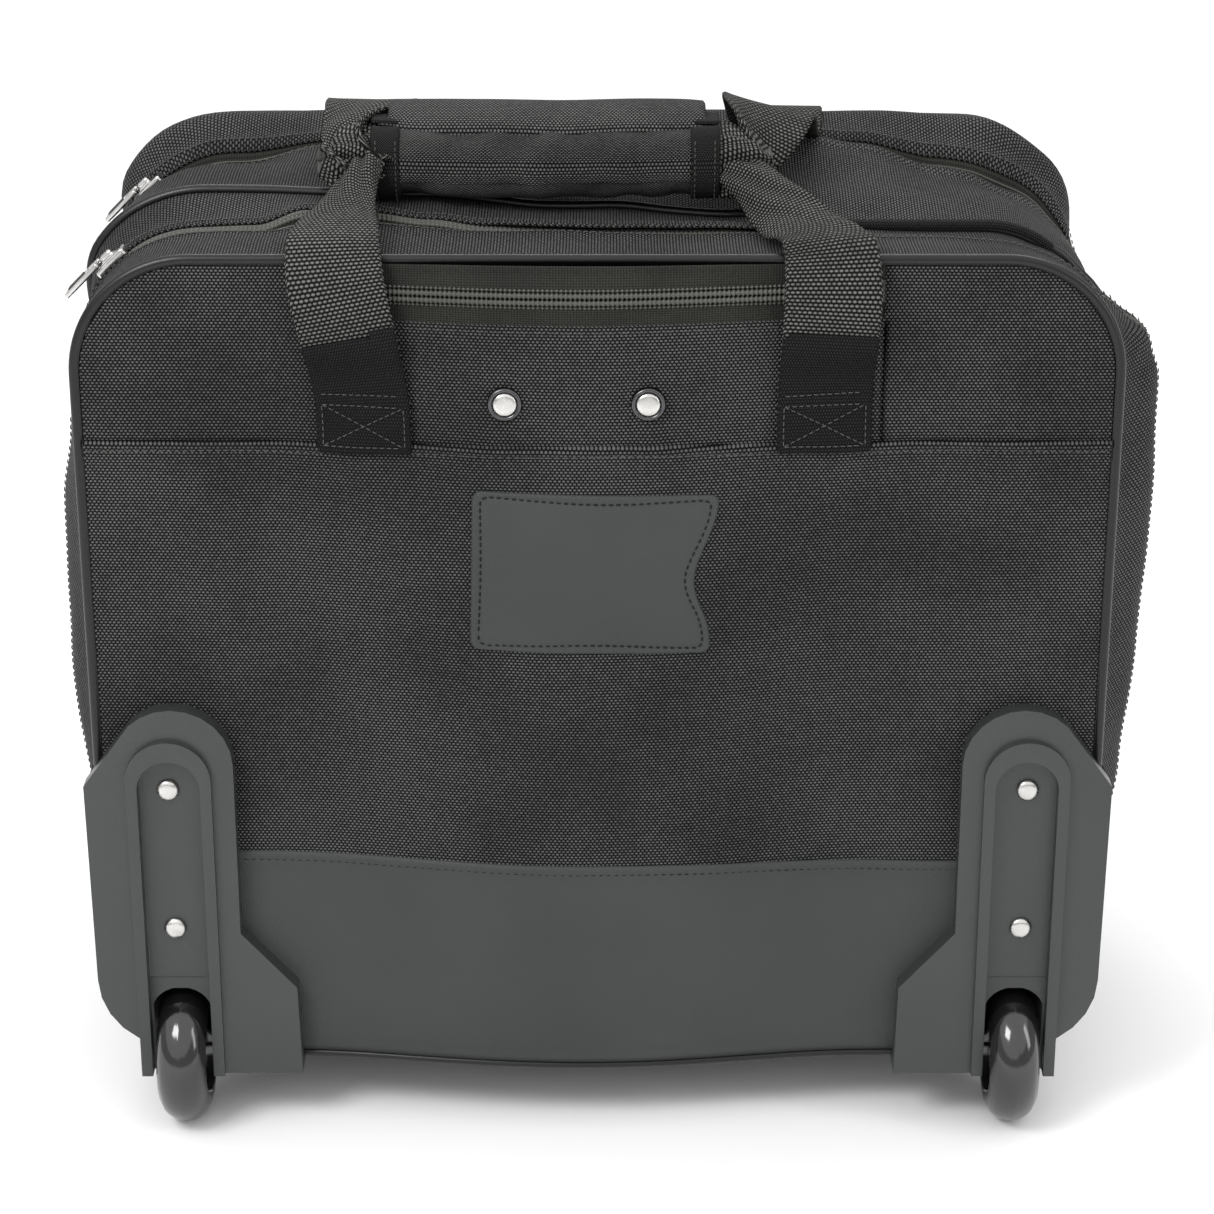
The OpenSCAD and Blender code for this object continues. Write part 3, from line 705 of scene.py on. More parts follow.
def in_well(p, v):
    """Says whether a point of the outline lies in a wheel's well at this depth."""
    return abs(abs(p[0]) - WHEEL_X) < WELL_HALF and p[1] < WHEEL_Z + WELL_R and v < WHEEL_V + WELL_R


def strip(points, depths, lift):
    """Grid and cloth coordinates of a wall sewn round the outline, at some depths."""
    grid = [[on_rim(p, v, lift(v)) for v in depths] for p in points]
    return grid, [[(v, p[4]) for v in depths] for p in points]


def span(a, b, step):
    n = max(1, round((b - a) / step))
    return [a + (b - a) * i / n for i in range(n + 1)]


def coil_size(r, pitch=1.9):
    """Radius along a zip's coil: one rib for each turn."""
    return lambda arc: r + 0.42 * sin(2 * pi * arc / pitch)


def lip(edge):
    """The folded edge of a wall beside a zip: a small roll that ends over the tape."""
    return lambda v: knots([(0, 0.35), (2.4, 0.5), (4.5, 0.1), (9, 0)], abs(v - edge))


def build_rear_wall():
    ring = rim()
    depths = span(1.4, ZIP1 - TAPE_OUT + TAPE_LAP, 2.6)
    grid, cloth = strip(ring, depths, lip(depths[-1]))
    Piece().sheet(grid, WALL, cloth, lambda i, j: not in_well(ring[i], depths[j]), closed=True).done(
        "rear_gusset_fabric", "rear_section", "ballistic_nylon", NYLON, ["rear_gusset"])


def build_middle_wall():
    ring = rim()
    depths = [ZIP1 + TAPE_OUT - TAPE_LAP] + span(ZIP1 + 8, ZIP2 - 8, 3.4) + [ZIP2 - TAPE_OUT + TAPE_LAP]
    first, last = lip(depths[0]), lip(depths[-1])
    grid, cloth = strip(ring, depths, lambda v: first(v) + last(v))
    for p, row in zip(ring, grid):
        # Over the middle and right of the top the folded edges lie over both zips.
        top = knots([(0.3, 0), (0.8, 1)], p[3])
        over1 = top * knots([(-66, 0), (-34, 1)], p[0])
        over2 = top * knots([(40, 0), (84, 1)], p[0])
        for v, q in zip(depths, row):
            near1 = over1 * knots([(0, 1), (8, 0)], v - depths[0])
            near2 = over2 * knots([(0, 1), (8, 0)], depths[-1] - v)
            q.y += 6.2 * (near2 - near1)
            q.z += 1.9 * (near1 + near2)
    wall = Piece().sheet(grid, WALL, cloth, lambda i, j: not in_well(ring[i], depths[j]), closed=True).done(
        "middle_gusset_fabric", "rear_section", "ballistic_nylon", NYLON, ["middle_gusset", "bottom_panel"],
        move=False)
    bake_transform(wall)


def build_zip_tapes():
    for zone, at, low, bodies in (("rear_zip", ZIP1, 52, ("rear_section", "middle_section")),
                                  ("main_zip", ZIP2, 34, ("middle_section", "front_section"))):
        pts, fine = rim_part(low, 3.0), rim_part(low, 0.45)
        for s, half, body in zip((-1, 1), ("inner", "outer"), bodies):
            name = f"{zone}_{half}_tape"
            depths = [at + s * d for d in (0.4, 2.2, 4.4, TAPE_OUT + 0.9)]
            grid = [[on_rim(p, v, -0.6) for v in depths] for p in pts]
            cloth = [[(p[4], v) for v in depths] for p in pts]
            Piece().sheet(grid, 0.8, cloth, side=s).done(name + "_cloth", body, "zip_tape", TAPE, [name])
            teeth = Piece()
            teeth.tube([on_rim(p, at + s * 1.35, 0.4) for p in fine], coil_size(1.25), 6)
            teeth.tube([on_rim(p, at + s * 3.4, 0) for p in fine[::2]], 0.5, 5)
            teeth.done(name + "_coil", body, "zip_tape", COIL)


def build_zip_ends():
    """Folded tabs over the four lower ends of the large zips."""
    for zone, at, top, body, far, lift in (("rear", ZIP1, 58, "rear_section", TAPE_OUT + 2.4, 2.1),
                                           ("main", ZIP2, 60, "middle_section", 4.6, 0.2)):
        for side, end in ((-1, "left"), (1, "right")):
            pts = [p for p in rim(0.0, 2.0) if p[0] * side > 160 and LOW + 0.5 < p[1] < top]
            pts.sort(key=lambda p: p[1])
            depths = span(at - TAPE_OUT - 2.4, at + far, 2.6)
            lifts = [lift + (1.7 if v < at - 4 and far < TAPE_OUT else 0) for v in depths]
            grid = [[on_rim(p, v, d) for v, d in zip(depths, lifts)] for p in pts]
            cloth = [[(p[1], v) for v in depths] for p in pts]
            # The tabs take the darker webbing, whose colour is partly painted shade.
            Piece().sheet(grid, 0.9, cloth, side=side).done(
                f"{zone}_zip_end_{end}", body, "zip_tape", WEB_DOUBLED_SHADE)


def stitch_zips(threads, mid_threads, front_threads):
    for zip_at, s, low, row in ((ZIP1, -1, 80, threads), (ZIP1, 1, 95, mid_threads),
                                (ZIP2, -1, 95, mid_threads), (ZIP2, 1, 80, front_threads)):
        at = zip_at + s * TAPE_OUT + s * 1.9
        row.stitches([on_rim(p, at, 1.5) for p in rim_part(low, 3.0)], rim_normal)


def rim_normal(c):
    """Outward direction of the outline near a point."""
    x = max(-(HALF - TOP_R), min(HALF - TOP_R, c[0]))
    z = min(TOP - TOP_R, max(LOW + LOW_R, c[2]))
    if abs(c[0]) > HALF - TOP_R and c[2] > TOP - TOP_R:
        return (c[0] - x, 0, c[2] - z)
    return (0, 0, 1) if abs(c[0]) <= HALF - TOP_R else ((1 if c[0] > 0 else -1), 0, 0)


def build_cord(name, body, v, inset, low):
    """Piping round the outline at one depth, and the welt that is sewn in under it."""
    pts = [p for p in rim(0, 3.0) if p[1] >= low]
    if inset:
        path = [Vector((p[0] - p[2] * inset, v, p[1] - p[3] * inset)) for p in pts]
    else:
        path = [on_rim(p, v, 1.6) for p in pts]
    Piece().tube(path, PIPE_R, 16).done(name + "_cord", body, "piping", PIPING, [name])
    welt = [[q + Vector((0, d, 0)) - Vector((p[2], 0, p[3])) * 1.7 for d in (-1.2, 0, 2.4)]
            for p, q in zip(pts, path)]
    Piece().sheet(welt, 0.8, [[(p[4], d) for d in (0, 1, 3)] for p in pts]).done(
        name + "_cord_welt", body, "piping", PIPING)


def build_front():
    ring = rim()
    corner = [(sin(radians(a)), 1 - cos(radians(a))) for a in range(10, 91, 10)]
    steps = [(v, 0.0) for v in span(ZIP2 + TAPE_OUT - TAPE_LAP, FRONT - FRONT_R, 3.4)]
    steps += [(FRONT - FRONT_R + FRONT_R * f, FRONT_R * g) for f, g in corner]
    steps += [(FRONT, inset) for inset in (32, 60, 110, 180)]
    fold = lip(steps[0][0])
    rings = [(v, inset, inner_rim(inset)) for v, inset in steps]
    grid, cloth = [], []
    for k, p in enumerate(ring):
        line = []
        for v, inset, inner in rings:
            x, z, nx, nz = inner[k]
            d = swell(*p[:4], v) + fold(v)
            line.append(Vector((x + nx * d, v + knots([(40, 0), (80, 1)], inset), z + nz * d)))
        grid.append(line)
        cloth.append([(v + inset, p[4]) for v, inset in steps])
    Piece().sheet(grid, WALL, cloth, closed=True).done(
        "front_shell_fabric", "front_section", "ballistic_nylon", NYLON, ["front_gusset", "front_panel"])
    edge = [Vector((x, FRONT + 1.2, z)) for x, z, _, _ in inner_rim(FRONT_R)]
    Piece().tube(edge, 1.9, 10, closed=True).done("front_edge_piping", "front_section", "piping", PIPING)


def inner_rim(inset):
    """The outline drawn in by an inset, as (x, z, nx, nz) at the same points as rim()."""
    w, top, low = HALF - inset, TOP - inset, LOW + inset
    rt, rb = max(2.0, TOP_R - inset), max(2.0, LOW_R - inset)
    out = []
    for x, z, nx, nz, _ in rim():
        upper = z > (TOP + LOW) / 2
        r0, r = (TOP_R, rt) if upper else (LOW_R, rb)
        reach = HALF - r0
        if 0.001 < abs(nx) < 0.999 or (abs(x) > reach and abs(nz) > 0.999):
            px = (1 if x > 0 else -1) * (w - r) + nx * r
            pz = (top - r if upper else low + r) + nz * r
        elif abs(nz) > 0.5:
            px, pz = max(-1, min(1, x / reach)) * (w - r), top if nz > 0 else low
        else:
            f = (z - LOW - LOW_R) / (TOP - TOP_R - LOW - LOW_R)
            px, pz = nx * w, (low + rb) + f * ((top - rt) - (low + rb))
        out.append((px, pz, nx, nz))
    return out


# ---- Zip across the handle pocket, card holder ----

def build_handle_zip(threads):
    xs = span(-HZIP_X, HZIP_X, 2.4)

    def tape(z0, z1):
        zs = span(z0, z1, 2.0)
        grid = [[Vector((x, panel_v(x, z) + 0.9, z)) for z in zs] for x in xs]
        return Piece().sheet(grid, 0.8, [[(x, z) for z in zs] for x in xs], side=-1)

    def coil(s):
        z = HZIP_Z + s * 1.35
        along = span(-HZIP_X + 1, HZIP_X - 1, COIL_STEP)
        path = [(x, panel_v(x, z) - 0.35, z) for x in along]
        edge = [(x, panel_v(x, z) + 0.1, z + s * 2.15) for x in along]
        return Piece().tube(path, coil_size(1.18), 6).tube(edge, coil_size(0.42), 5)

    tape(POCKET_LOW - 1.5, HZIP_Z - 0.3).done("handle_zip_lower_cloth", "rear_section", "zip_tape", TAPE,
                                   ["handle_zip_lower_tape"])
    coil(-1).done("handle_zip_lower_coil", "rear_section", "zip_tape", COIL)
    cloth = tape(HZIP_Z + 0.3, 399).done("handle_zip_upper_cloth", "rear_section", "zip_tape", TAPE,
                                         ["handle_zip_upper_tape"])
    for piece in (cloth, coil(1).done("handle_zip_upper_coil", "rear_section", "zip_tape", COIL)):
        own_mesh(piece)
    row = [(x, panel_v(x, 374) - 0.05, 373.6) for x in xs]
    threads.stitches(row, (0, -1, 0), 2.6, 1.8, 0.24)
    for x in (HZIP_X - 2.2, -HZIP_X + 2.2):
        for k in range(16):
            z = HZIP_Z - 4.5 + 0.6 * k
            bar = [(x + d, panel_v(x, z) - 0.3, z) for d in (-2.4, 2.4)]
            threads.stitches(bar, (0, -1, 0), 4.7, 4.4, 0.3)


def patch(outline, face, rows):
    """A raised patch on a surface v = face(x, z), made of rings (inset, lift).

    A negative inset is the share of the innermost ring's size.
    """
    n = len(outline)
    cx = sum(p[0] for p in outline) / n
    cz = sum(p[1] for p in outline) / n
    verts, cloth = [], []
    rim_inset = max(r[0] for r in rows)
    for inset, lift in rows:
        for x, z in outline:
            d = hypot(x - cx, z - cz)
            f = 1 - inset / d if inset >= 0 else -inset * (1 - rim_inset / d)
            px, pz = cx + (x - cx) * f, cz + (z - cz) * f
            verts.append(Vector((px, face(px, pz) - lift, pz)))
            cloth.append((px, pz))
    faces = []
    for k in range(len(rows) - 1):
        for i in range(n):
            a, b = k * n + i, k * n + (i + 1) % n
            faces.append((b, a, a + n, b + n))
    faces.append(tuple((len(rows) - 1) * n + i for i in reversed(range(n))))
    return Piece().add(verts, faces, cloth)


def rounded(points, r, steps=5):
    """Rounds the corners of a closed outline of (x, z) points, and puts points along its sides."""
    out, n = [], len(points)
    for i, p in enumerate(points):
        p = Vector(p)
        a, b = Vector(points[i - 1]), Vector(points[(i + 1) % n])
        u, w = (a - p).normalized(), (b - p).normalized()
        cut = min(r, (a - p).length / 2, (b - p).length / 2)
        s, e = p + u * cut, p + w * cut
        for k in range(steps + 1):
            t = k / steps
            out.append(s * (1 - t) ** 2 + p * 2 * t * (1 - t) + e * t * t)
        q = b + (p - b).normalized() * min(r, (b - p).length / 2)
        m = max(1, round((q - e).length / 4))
        out += [e.lerp(q, k / m) for k in range(1, m)]
    return [(p[0], p[1]) for p in out]


def build_tag(dark_threads):
    lo, hi = limits("tag_holder")
    height = hi[2] - lo[2]
    notch = [(0.12, 2.4), (0.22, 4.2), (0.32, 7.6), (0.42, 9.8), (0.52, 9.6), (0.62, 7.4), (0.74, 4.0),
             (0.86, 1.2)]
    wave = [(hi[0] - d, lo[2] + f * height) for f, d in notch]
    corners = [(lo[0], lo[2]), (hi[0] - 2, lo[2])] + wave + [(hi[0], hi[2]), (lo[0], hi[2])]
    turned = radians(-1.4)
    cx, cz = (lo[0] + hi[0]) / 2, (lo[2] + hi[2]) / 2

    def turn(p):
        x, z = p[0] - cx, p[1] - cz
        return (cx + x * cos(turned) - z * sin(turned), cz + x * sin(turned) + z * cos(turned))

    outline = [turn(p) for p in rounded(corners, 5)]
    rows = [(0, -0.2), (0, 0.9), (0.5, 1.6), (1.3, 1.9), (2.6, 1.75), (4.0, 1.35), (5.2, 1.75), (8, 1.95)]
    rows += [(-k / 10, 2.1) for k in (8.5, 7, 5.5, 4, 2.5)]
    patch(outline, panel_v, rows).done(
        "tag_holder_leather", "rear_section", "leatherette", LEATHER, ["tag_holder"])
    line = []
    for x, z in outline + outline[:1]:
        d = hypot(x - cx, z - cz)
        px, pz = cx + (x - cx) * (1 - 4.0 / d), cz + (z - cz) * (1 - 4.0 / d)
        line.append((px, panel_v(px, pz) - 1.5, pz))
    dark_threads.stitches(line, (0, -1, 0), 3.1, 2.1, 0.38)


# ---- Webbing and the padded grip ----

def off_case(p, gap):
    """Moves a point of a strap to just outside the panel, the piping or the top."""
    x, v, z = p
    if v < 9 and z < TOP - 2.5:
        face = panel_v(x, min(z, 397)) - gap
        v = min(v + (face - v) * knots([(348, 1), (368, 0)], z), face)
    d = hypot(v, z - TOP + 0.6)
    r = PIPE_R + gap
    if d < r and d > 1e-6:
        v, z = v * r / d, TOP - 0.6 + (z - TOP + 0.6) * r / d
    if 3 < v < FRONT - 26:
        z = max(z, TOP + 0.9 + gap + top_lift(x, v) + wobble(x, v * 1.6, TOP, 62, 1.6))
    elif FRONT - 26 <= v < FRONT:
        edge = TOP - FRONT_R + sqrt(max(0, FRONT_R ** 2 - (v - FRONT + FRONT_R) ** 2))
        z = max(z, edge + 0.9 + gap + top_lift(x, v))
    return Vector((x, v, z))


def ribbon(stations, thick=1.9, cols=16, step=2.2, shift=0.0):
    path = smooth_path(stations, step)
    grid, cloth, arc = [], [], 0.0
    for i, s in enumerate(path):
        p, w = Vector(s[:3]), Vector(s[3:6])
        t = (Vector(path[min(i + 1, len(path) - 1)][:3]) - Vector(path[max(i - 1, 0)][:3])).normalized()
        w = (w - t * w.dot(t)).normalized()
        n = w.cross(t)
        half, curl = s[6], s[7]
        if i:
            arc += (p - Vector(path[i - 1][:3])).length
        row = []
        for k in range(cols + 1):
            q = 2 * k / cols - 1
            if abs(curl) < 0.05:
                c = p + w * (half * q)
            else:
                r = half / (curl / 2)
                c = p + w * (r * sin(q * curl / 2)) - n * (r * (1 - cos(q * curl / 2)))
            c += n * (0.5 * abs(curl) * sin(q * 7 + arc / 5))
            c = off_case(c, thick / 2 + 0.35)
            row.append(c - Vector((0, shift, 0)))
        grid.append(row)
        cloth.append([(19 * (2 * k / cols - 1), arc) for k in range(cols + 1)])
    return grid, cloth


# Stations of the straps: place (x, v, z), direction across the webbing, half its width, and its curl
REAR_LEFT = [(-96.5, -10, 320.5, 1, 0, 0, 19, 0), (-97, -10, 342, 1, 0, 0, 19, 0),
             (-101, -14.5, 368, 1, 0, -0.1, 19, 0), (-105.5, -15, 391, 1, 0, -0.1, 19, 0),
             (-107.5, -5, 407, 1, 0, 0, 18.5, 0.1),
             (-107, 9, 412.5, 1, 0, 0.05, 17, 0.2), (-106, 22, 415, 1, 0, 0.08, 14.5, 0.6),
             (-103, 36, 420, 1, 0.1, 0.2, 11, 1.4), (-99, 48, 427, 0.8, 0.4, 0.3, 8.5, 2.2),
             (-95, 58, 430, 0.3, 0.9, 0.2, 9, 2.2), (-84, 66, 428, 0, 0.9, 0.4, 10, 2.0),
             (-66, 70, 427, 0, 1, 0.2, 10, 1.6)]
REAR_RIGHT = [(94, -10, 320.5, 1, 0, 0, 19, 0), (94, -10, 342, 1, 0, 0, 19, 0),
              (95, -14, 368, 1, 0, 0, 19, 0), (96, -14.5, 390, 1, 0, 0, 19, 0),
              (95, -4, 406.5, 1, 0, 0, 18.5, 0.1),
              (91, 9, 410, 1, 0, 0, 17.5, 0.3), (83, 22, 411.5, 1, -0.1, 0.1, 15.5, 0.6),
              (73, 36, 415, 0.9, -0.1, 0.4, 12.5, 1.0), (65, 49, 421, 0.7, 0.3, 0.6, 10.5, 1.5),
              (56, 60, 426, 0.2, 0.8, 0.5, 10, 2.0), (44, 67, 428, 0, 0.9, 0.4, 10, 2.0),
              (24, 70, 427, 0, 1, 0.2, 10, 1.6)]
FRONT_ROUTE = [(238, 330), (238, 370), (234.5, 387), (227, 398), (210, 405)]
FRONT_LEFT = [(-99, v, z, 1, 0, 0, 19, 0) for v, z in FRONT_ROUTE] + [
    (-99, 178, 409, 1, 0, 0, 19, 0), (-98.5, 148, 422, 1, 0, 0, 19, 0), (-98, 126, 435, 1, 0, 0, 19.5, 0),
    (-98, 108, 440, 1, 0, 0, 19, 0.2), (-101, 91, 439, 0.95, 0.1, 0.1, 16, 0.9),
    (-105, 76, 436, 0.8, 0.4, 0.4, 12, 1.8), (-105, 64, 430, 0.5, 0.5, 0.7, 10, 2.4),
    (-100, 60, 423, 0.1, 0.8, 0.6, 10, 2.4), (-88, 66, 421, 0, 1, 0.2, 10, 2.2),
    (-66, 72, 421, 0, 1, 0, 10, 1.8)]
FRONT_RIGHT = [(84, v, z, 1, 0, 0, 19, 0) for v, z in FRONT_ROUTE] + [
    (82, 178, 408, 1, 0, 0, 19, 0), (79, 150, 418, 1, 0, -0.1, 19, 0), (76, 129, 431, 1, 0, -0.2, 20, 0),
    (74, 113, 436.5, 0.97, 0, -0.25, 20, 0.1), (71, 99, 433, 0.9, 0.1, -0.4, 18, 0.4),
    (66, 87, 427, 0.7, 0.4, -0.6, 15, 1.0), (59, 78, 423, 0.2, 0.8, -0.5, 12, 1.8),
    (46, 74, 422, 0, 1, -0.1, 11, 2.0), (24, 74, 422, 0, 1, 0, 10, 1.8)]
# Start and end points in metres, given for each pair of straps; the script reads them only to tell the rear
# straps, which get sewn ends, from the front ones
REAR_ENDS = {"start": (0, -0.118, 0.35), "end": (0, -0.062, 0.425)}
FRONT_ENDS = {"start": (0, 0.09, 0.405), "end": (0, -0.005, 0.437)}
# Stitch lines of a sewn end, as (x0, z0, x1, z1) from its middle: a box with a cross, and one row above it
SEWN_BOX = [(-17, 323, 17, 323), (-17, 340.5, 17, 340.5), (-17, 323, -17, 340.5), (17, 323, 17, 340.5),
            (-17, 323, 17, 340.5), (-17, 340.5, 17, 323), (-17, 345, 17, 345.6)]


def build_sewn_end(node, stations, slant, threads):
    """The doubled webbing at the strap's lower end, in a darker colour that is partly painted shade, and its
    stitches.
    """
    bottom = [p for p in stations if p[2] <= 394]
    grid, cloth = ribbon(bottom, shift=1.8)
    x0 = stations[0][0]

    def below(i, j):
        p = grid[i][j]
        return p.z < 371 + (p.x - x0) * slant

    # The doubled end's darker webbing is partly painted shade.
    Piece().sheet(grid, 1.7, cloth, keep=below).done(
        node + "_web_doubled", "rear_section", "webbing", WEB_DOUBLED_SHADE)
    rows = smooth_path(bottom, 1.0)

    def on_strap(u, z):
        near = min(rows, key=lambda q: abs(q[2] - z))
        x = near[0] + u
        return (x, off_case(Vector((x, near[1], z)), 1.3)[1] - 3.0, z)

    for u0, z0, u1, z1 in SEWN_BOX:
        line = [on_strap(u0 + (u1 - u0) * k / 8, z0 + (z1 - z0) * k / 8) for k in range(9)]
        threads.stitches(line, (0, -1, 0), 2.9, 2.1, 0.28)


def build_straps(threads):
    for node, stations, a, b, ends in (
            ("rear_strap_left", REAR_LEFT, "rear_section", "carry_grip", REAR_ENDS),
            ("rear_strap_right", REAR_RIGHT, "rear_section", "carry_grip", REAR_ENDS),
            ("front_strap_left", FRONT_LEFT, "front_section", "front_loop", FRONT_ENDS),
            ("front_strap_right", FRONT_RIGHT, "front_section", "front_loop", FRONT_ENDS)):
        grid, cloth = ribbon(stations)
        web = Piece().sheet(grid, 1.9, cloth).done(node + "_web", a, "webbing", WEB, [node], move=False)
        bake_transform(web)
        if ends is REAR_ENDS:
            build_sewn_end(node, stations, 0.26 if node == "rear_strap_left" else 0.0, threads)


def section(grow, a):
    """Point (v, z) of the grip's rounded section at an angle, with its size changed by grow."""
    c, s = cos(a), sin(a)
    k = 2 / 3.2
    return ((GRIP_W + grow) * (abs(c) ** k) * (1 if c > 0 else -1),
            (GRIP_H + grow) * (abs(s) ** k) * (1 if s > 0 else -1))


GRIP_LO, GRIP_HI = limits("grip_pad")
GRIP_V = (GRIP_LO[1] + GRIP_HI[1]) / 2 - Y0
GRIP_Z = (GRIP_LO[2] + GRIP_HI[2]) / 2
GRIP_W = (GRIP_HI[1] - GRIP_LO[1]) / 2
GRIP_H = (GRIP_HI[2] - GRIP_LO[2]) / 2


def sag(x):
    """How far the grip hangs down between its ends."""
    return 1.2 * sin(pi * (x - GRIP_LO[0]) / (GRIP_HI[0] - GRIP_LO[0]))


def sleeve(xs, grow, thick, rough):
    """Cloth wrapped round the grip a little less than once."""
    grid, cloth = [], []
    for x in xs:
        row, place = [], []
        for k in range(73):
            a = radians(118) + radians(345) * k / 72
            v, z = section(grow + rough * wobble(x * 1.3, 20 * a, 7, 17, 2.0), a)
            if sin(a) < -0.3:
                z += rough * (1.6 * sin(x / 9.0) * max(0, noise.noise(Vector((x / 25, 2, 5)))) + 0.8)
            row.append(Vector((x, GRIP_V + v, GRIP_Z + z - sag(x))))
            place.append((x, 1.6 * 19 * a))
        grid.append(row)
        cloth.append(place)
    return Piece().sheet(grid, thick, cloth, side=-1)


def build_grip():
    x0, x1 = GRIP_LO[0], GRIP_HI[0]
    sleeve(span(x0 + 3, x1 - 3, 2.0), -0.9, 2.0, 1.0).done(
        "grip_wrap", "carry_grip", "grip_nylon", NYLON_FINE, ["grip_pad"])
    for a, b, name in ((x0, x0 + 11, "left"), (x1 - 11, x1, "right")):
        sleeve(span(a, b, 1.6), 0.5, 1.6, 0.35).done(
            "grip_binding_" + name, "carry_grip", "grip_nylon", BINDING)
    threads = Piece()
    for x in (x0 + 10, x1 - 10, x0 + 1.6, x1 - 1.6):
        line = []
        for k in range(41):
            v, z = section(1.5, radians(150) + radians(140) * k / 40)
            line.append((x, GRIP_V + v, GRIP_Z + z - sag(x)))
        threads.stitches(line, lambda c: (0, c[1] - GRIP_V, c[2] - GRIP_Z), 2.6, 1.9, 0.24)
    threads.done("grip_stitches", "carry_grip", "grip_nylon", THREAD)
    core = [(x, GRIP_V, GRIP_Z - 1) for x in span(x0 + 6, x1 - 6, 6)]
    pad = Piece().tube(core, 13.0, 24).done("grip_foam", "carry_grip", "lining", LINING)


# Section of the flap as (v, z), from behind the grip over it to the rolled front edge
FLAP = [(96.3, 427.5), (97.0, 435), (93.5, 442), (86.5, 445.6), (78, 445.4), (70.5, 443.4), (65.0, 441.0),
        (62.2, 438.2), (63.0, 435.8), (66.0, 435.6), (68.4, 437.6)]


def build_flap():
    x0, x1 = GRIP_LO[0] + 7, GRIP_HI[0] - 6
    pts = smooth_path([(v, z, 0.0) for v, z in FLAP], 1.8)
    grid, cloth = [], []
    for x in span(x0, x1, 2.4):
        droop = 1.2 * sin(pi * (x - x0) / (x1 - x0))
        back = 9.0 * exp(-min(x - x0, x1 - x) / 7.0)
        wave = wobble(x, 1, 1, 30, 1.6) + droop
        row, place, arc = [], [], 0.0
        for k, (v, z, _) in enumerate(pts):
            g = k / (len(pts) - 1)
            z_at = z - droop + wave * g * 0.6 - 0.35 * back * (1 - g) + 0.8 * g
            row.append(Vector((x, v + back * g, z_at)))
            if k:
                arc += hypot(v - pts[k - 1][0], z - pts[k - 1][1])
            place.append((x, arc))
        grid.append(row)
        cloth.append(place)
    Piece().sheet(grid, 2.4, cloth).done(
        "grip_flap_cloth", "grip_flap", "grip_nylon", NYLON_FINE, ["grip_flap"])


def build_gathers():
    """The bunched webbing at the grip's two ends, and the front straps' loop inside it."""
    for side, end, body in ((-1, GRIP_LO[0], "left"), (1, GRIP_HI[0], "right")):
        grid, cloth = [], []
        for i in range(18):
            f = min(1.0, i / 14)
            past = max(0, i - 14)
            x = end + side * (-6 + 27 * f + 0.3 * past)
            shrink = knots([(0, 0.93), (0.35, 0.98), (0.75, 0.82), (1, 0.42)], f)
            shrink *= (1, 0.66, 0.33, 0.05)[past]
            drop = (-3.0 if side > 0 else -1.0) * f
            row, place = [], []
            for k in range(64):
                a = 2 * pi * k / 64
                size = shrink * (1 + 0.10 * sin(5 * a + 3 * f + end) * f + 0.05 * sin(11 * a + 1.0 + 5 * f))
                v, z = section(-1.8, a)
                row.append(Vector((x + 1.6 * sin(3 * a) * f, GRIP_V - 3 * f + v * size,
                                   GRIP_Z - 1 + drop + z * size)))
                place.append((17 * a, x))
            grid.append(row + [row[0]])
            cloth.append(place + [(17 * 2 * pi, x)])
        Piece().sheet(grid, 1.8, cloth, side=side).done("grip_gather_" + body, "carry_grip", "webbing", WEB,
                                                       ["rear_loop"] if side < 0 else [])
    inner = Piece()
    for end in (GRIP_LO[0] + 4, GRIP_HI[0] - 4):
        inner.tube([(end + d, GRIP_V + 6, GRIP_Z + 2) for d in (-4, 4)], 7.5, 16)
    # The loop takes the darker webbing, whose colour is partly painted shade.
    inner.done("front_loop_core", "front_loop", "webbing", WEB_DOUBLED_SHADE, ["front_loop"])


# ---- Hard pieces ----

def soften(node, body, material, width=1.0, segments=3):
    """A copy of a CAD piece's own mesh with its edges rounded."""
    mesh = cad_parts[node].data.copy()
    bm = bmesh.new()
    bm.from_mesh(mesh)
    bmesh.ops.remove_doubles(bm, verts=bm.verts, dist=2e-5)
    bmesh.ops.dissolve_limit(bm, angle_limit=radians(1.5), verts=bm.verts, edges=bm.edges)
    bm.to_mesh(mesh)
    bm.free()
    for p in mesh.polygons:
        p.use_smooth = True
    mesh.materials.clear()
    mesh.materials.append(material)
    obj = bpy.data.objects.new(node + "_finish", mesh)
    bpy.context.collection.objects.link(obj)
    bevel = obj.modifiers.new("edges", "BEVEL")
    bevel.width = width / 1000
    bevel.segments = segments
    bevel.limit_method = "ANGLE"
    bevel.angle_limit = radians(28)
    bevel.harden_normals = True
    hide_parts(node)
    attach(obj, body)
    return obj


def build_tyre(side, x):
    lo, hi = limits(side + "_tyre")
    outer, half = (hi[2] - lo[2]) / 2, (hi[0] - lo[0]) / 2
    crown = 11.6
    profile = [(20, -half + 0.3), (22.5, -half), (24.2, -half + 0.2)]
    for k in range(-9, 10):
        a = k * 0.98
        lift = 0.22 if abs(a) < 0.5 else 0.0
        profile.append((outer - crown + sqrt(crown ** 2 - a * a) + lift, a))
    profile += [(24.2, half - 0.2), (22.5, half), (20, half - 0.3), (20, -half + 0.3)]
    Piece().revolve((x, WHEEL_V, WHEEL_Z), (1, 0, 0), profile, 96).done(
        side + "_tyre_rubber", side + "_wheel", "wheel_tyre", RUBBER, [side + "_tyre"])


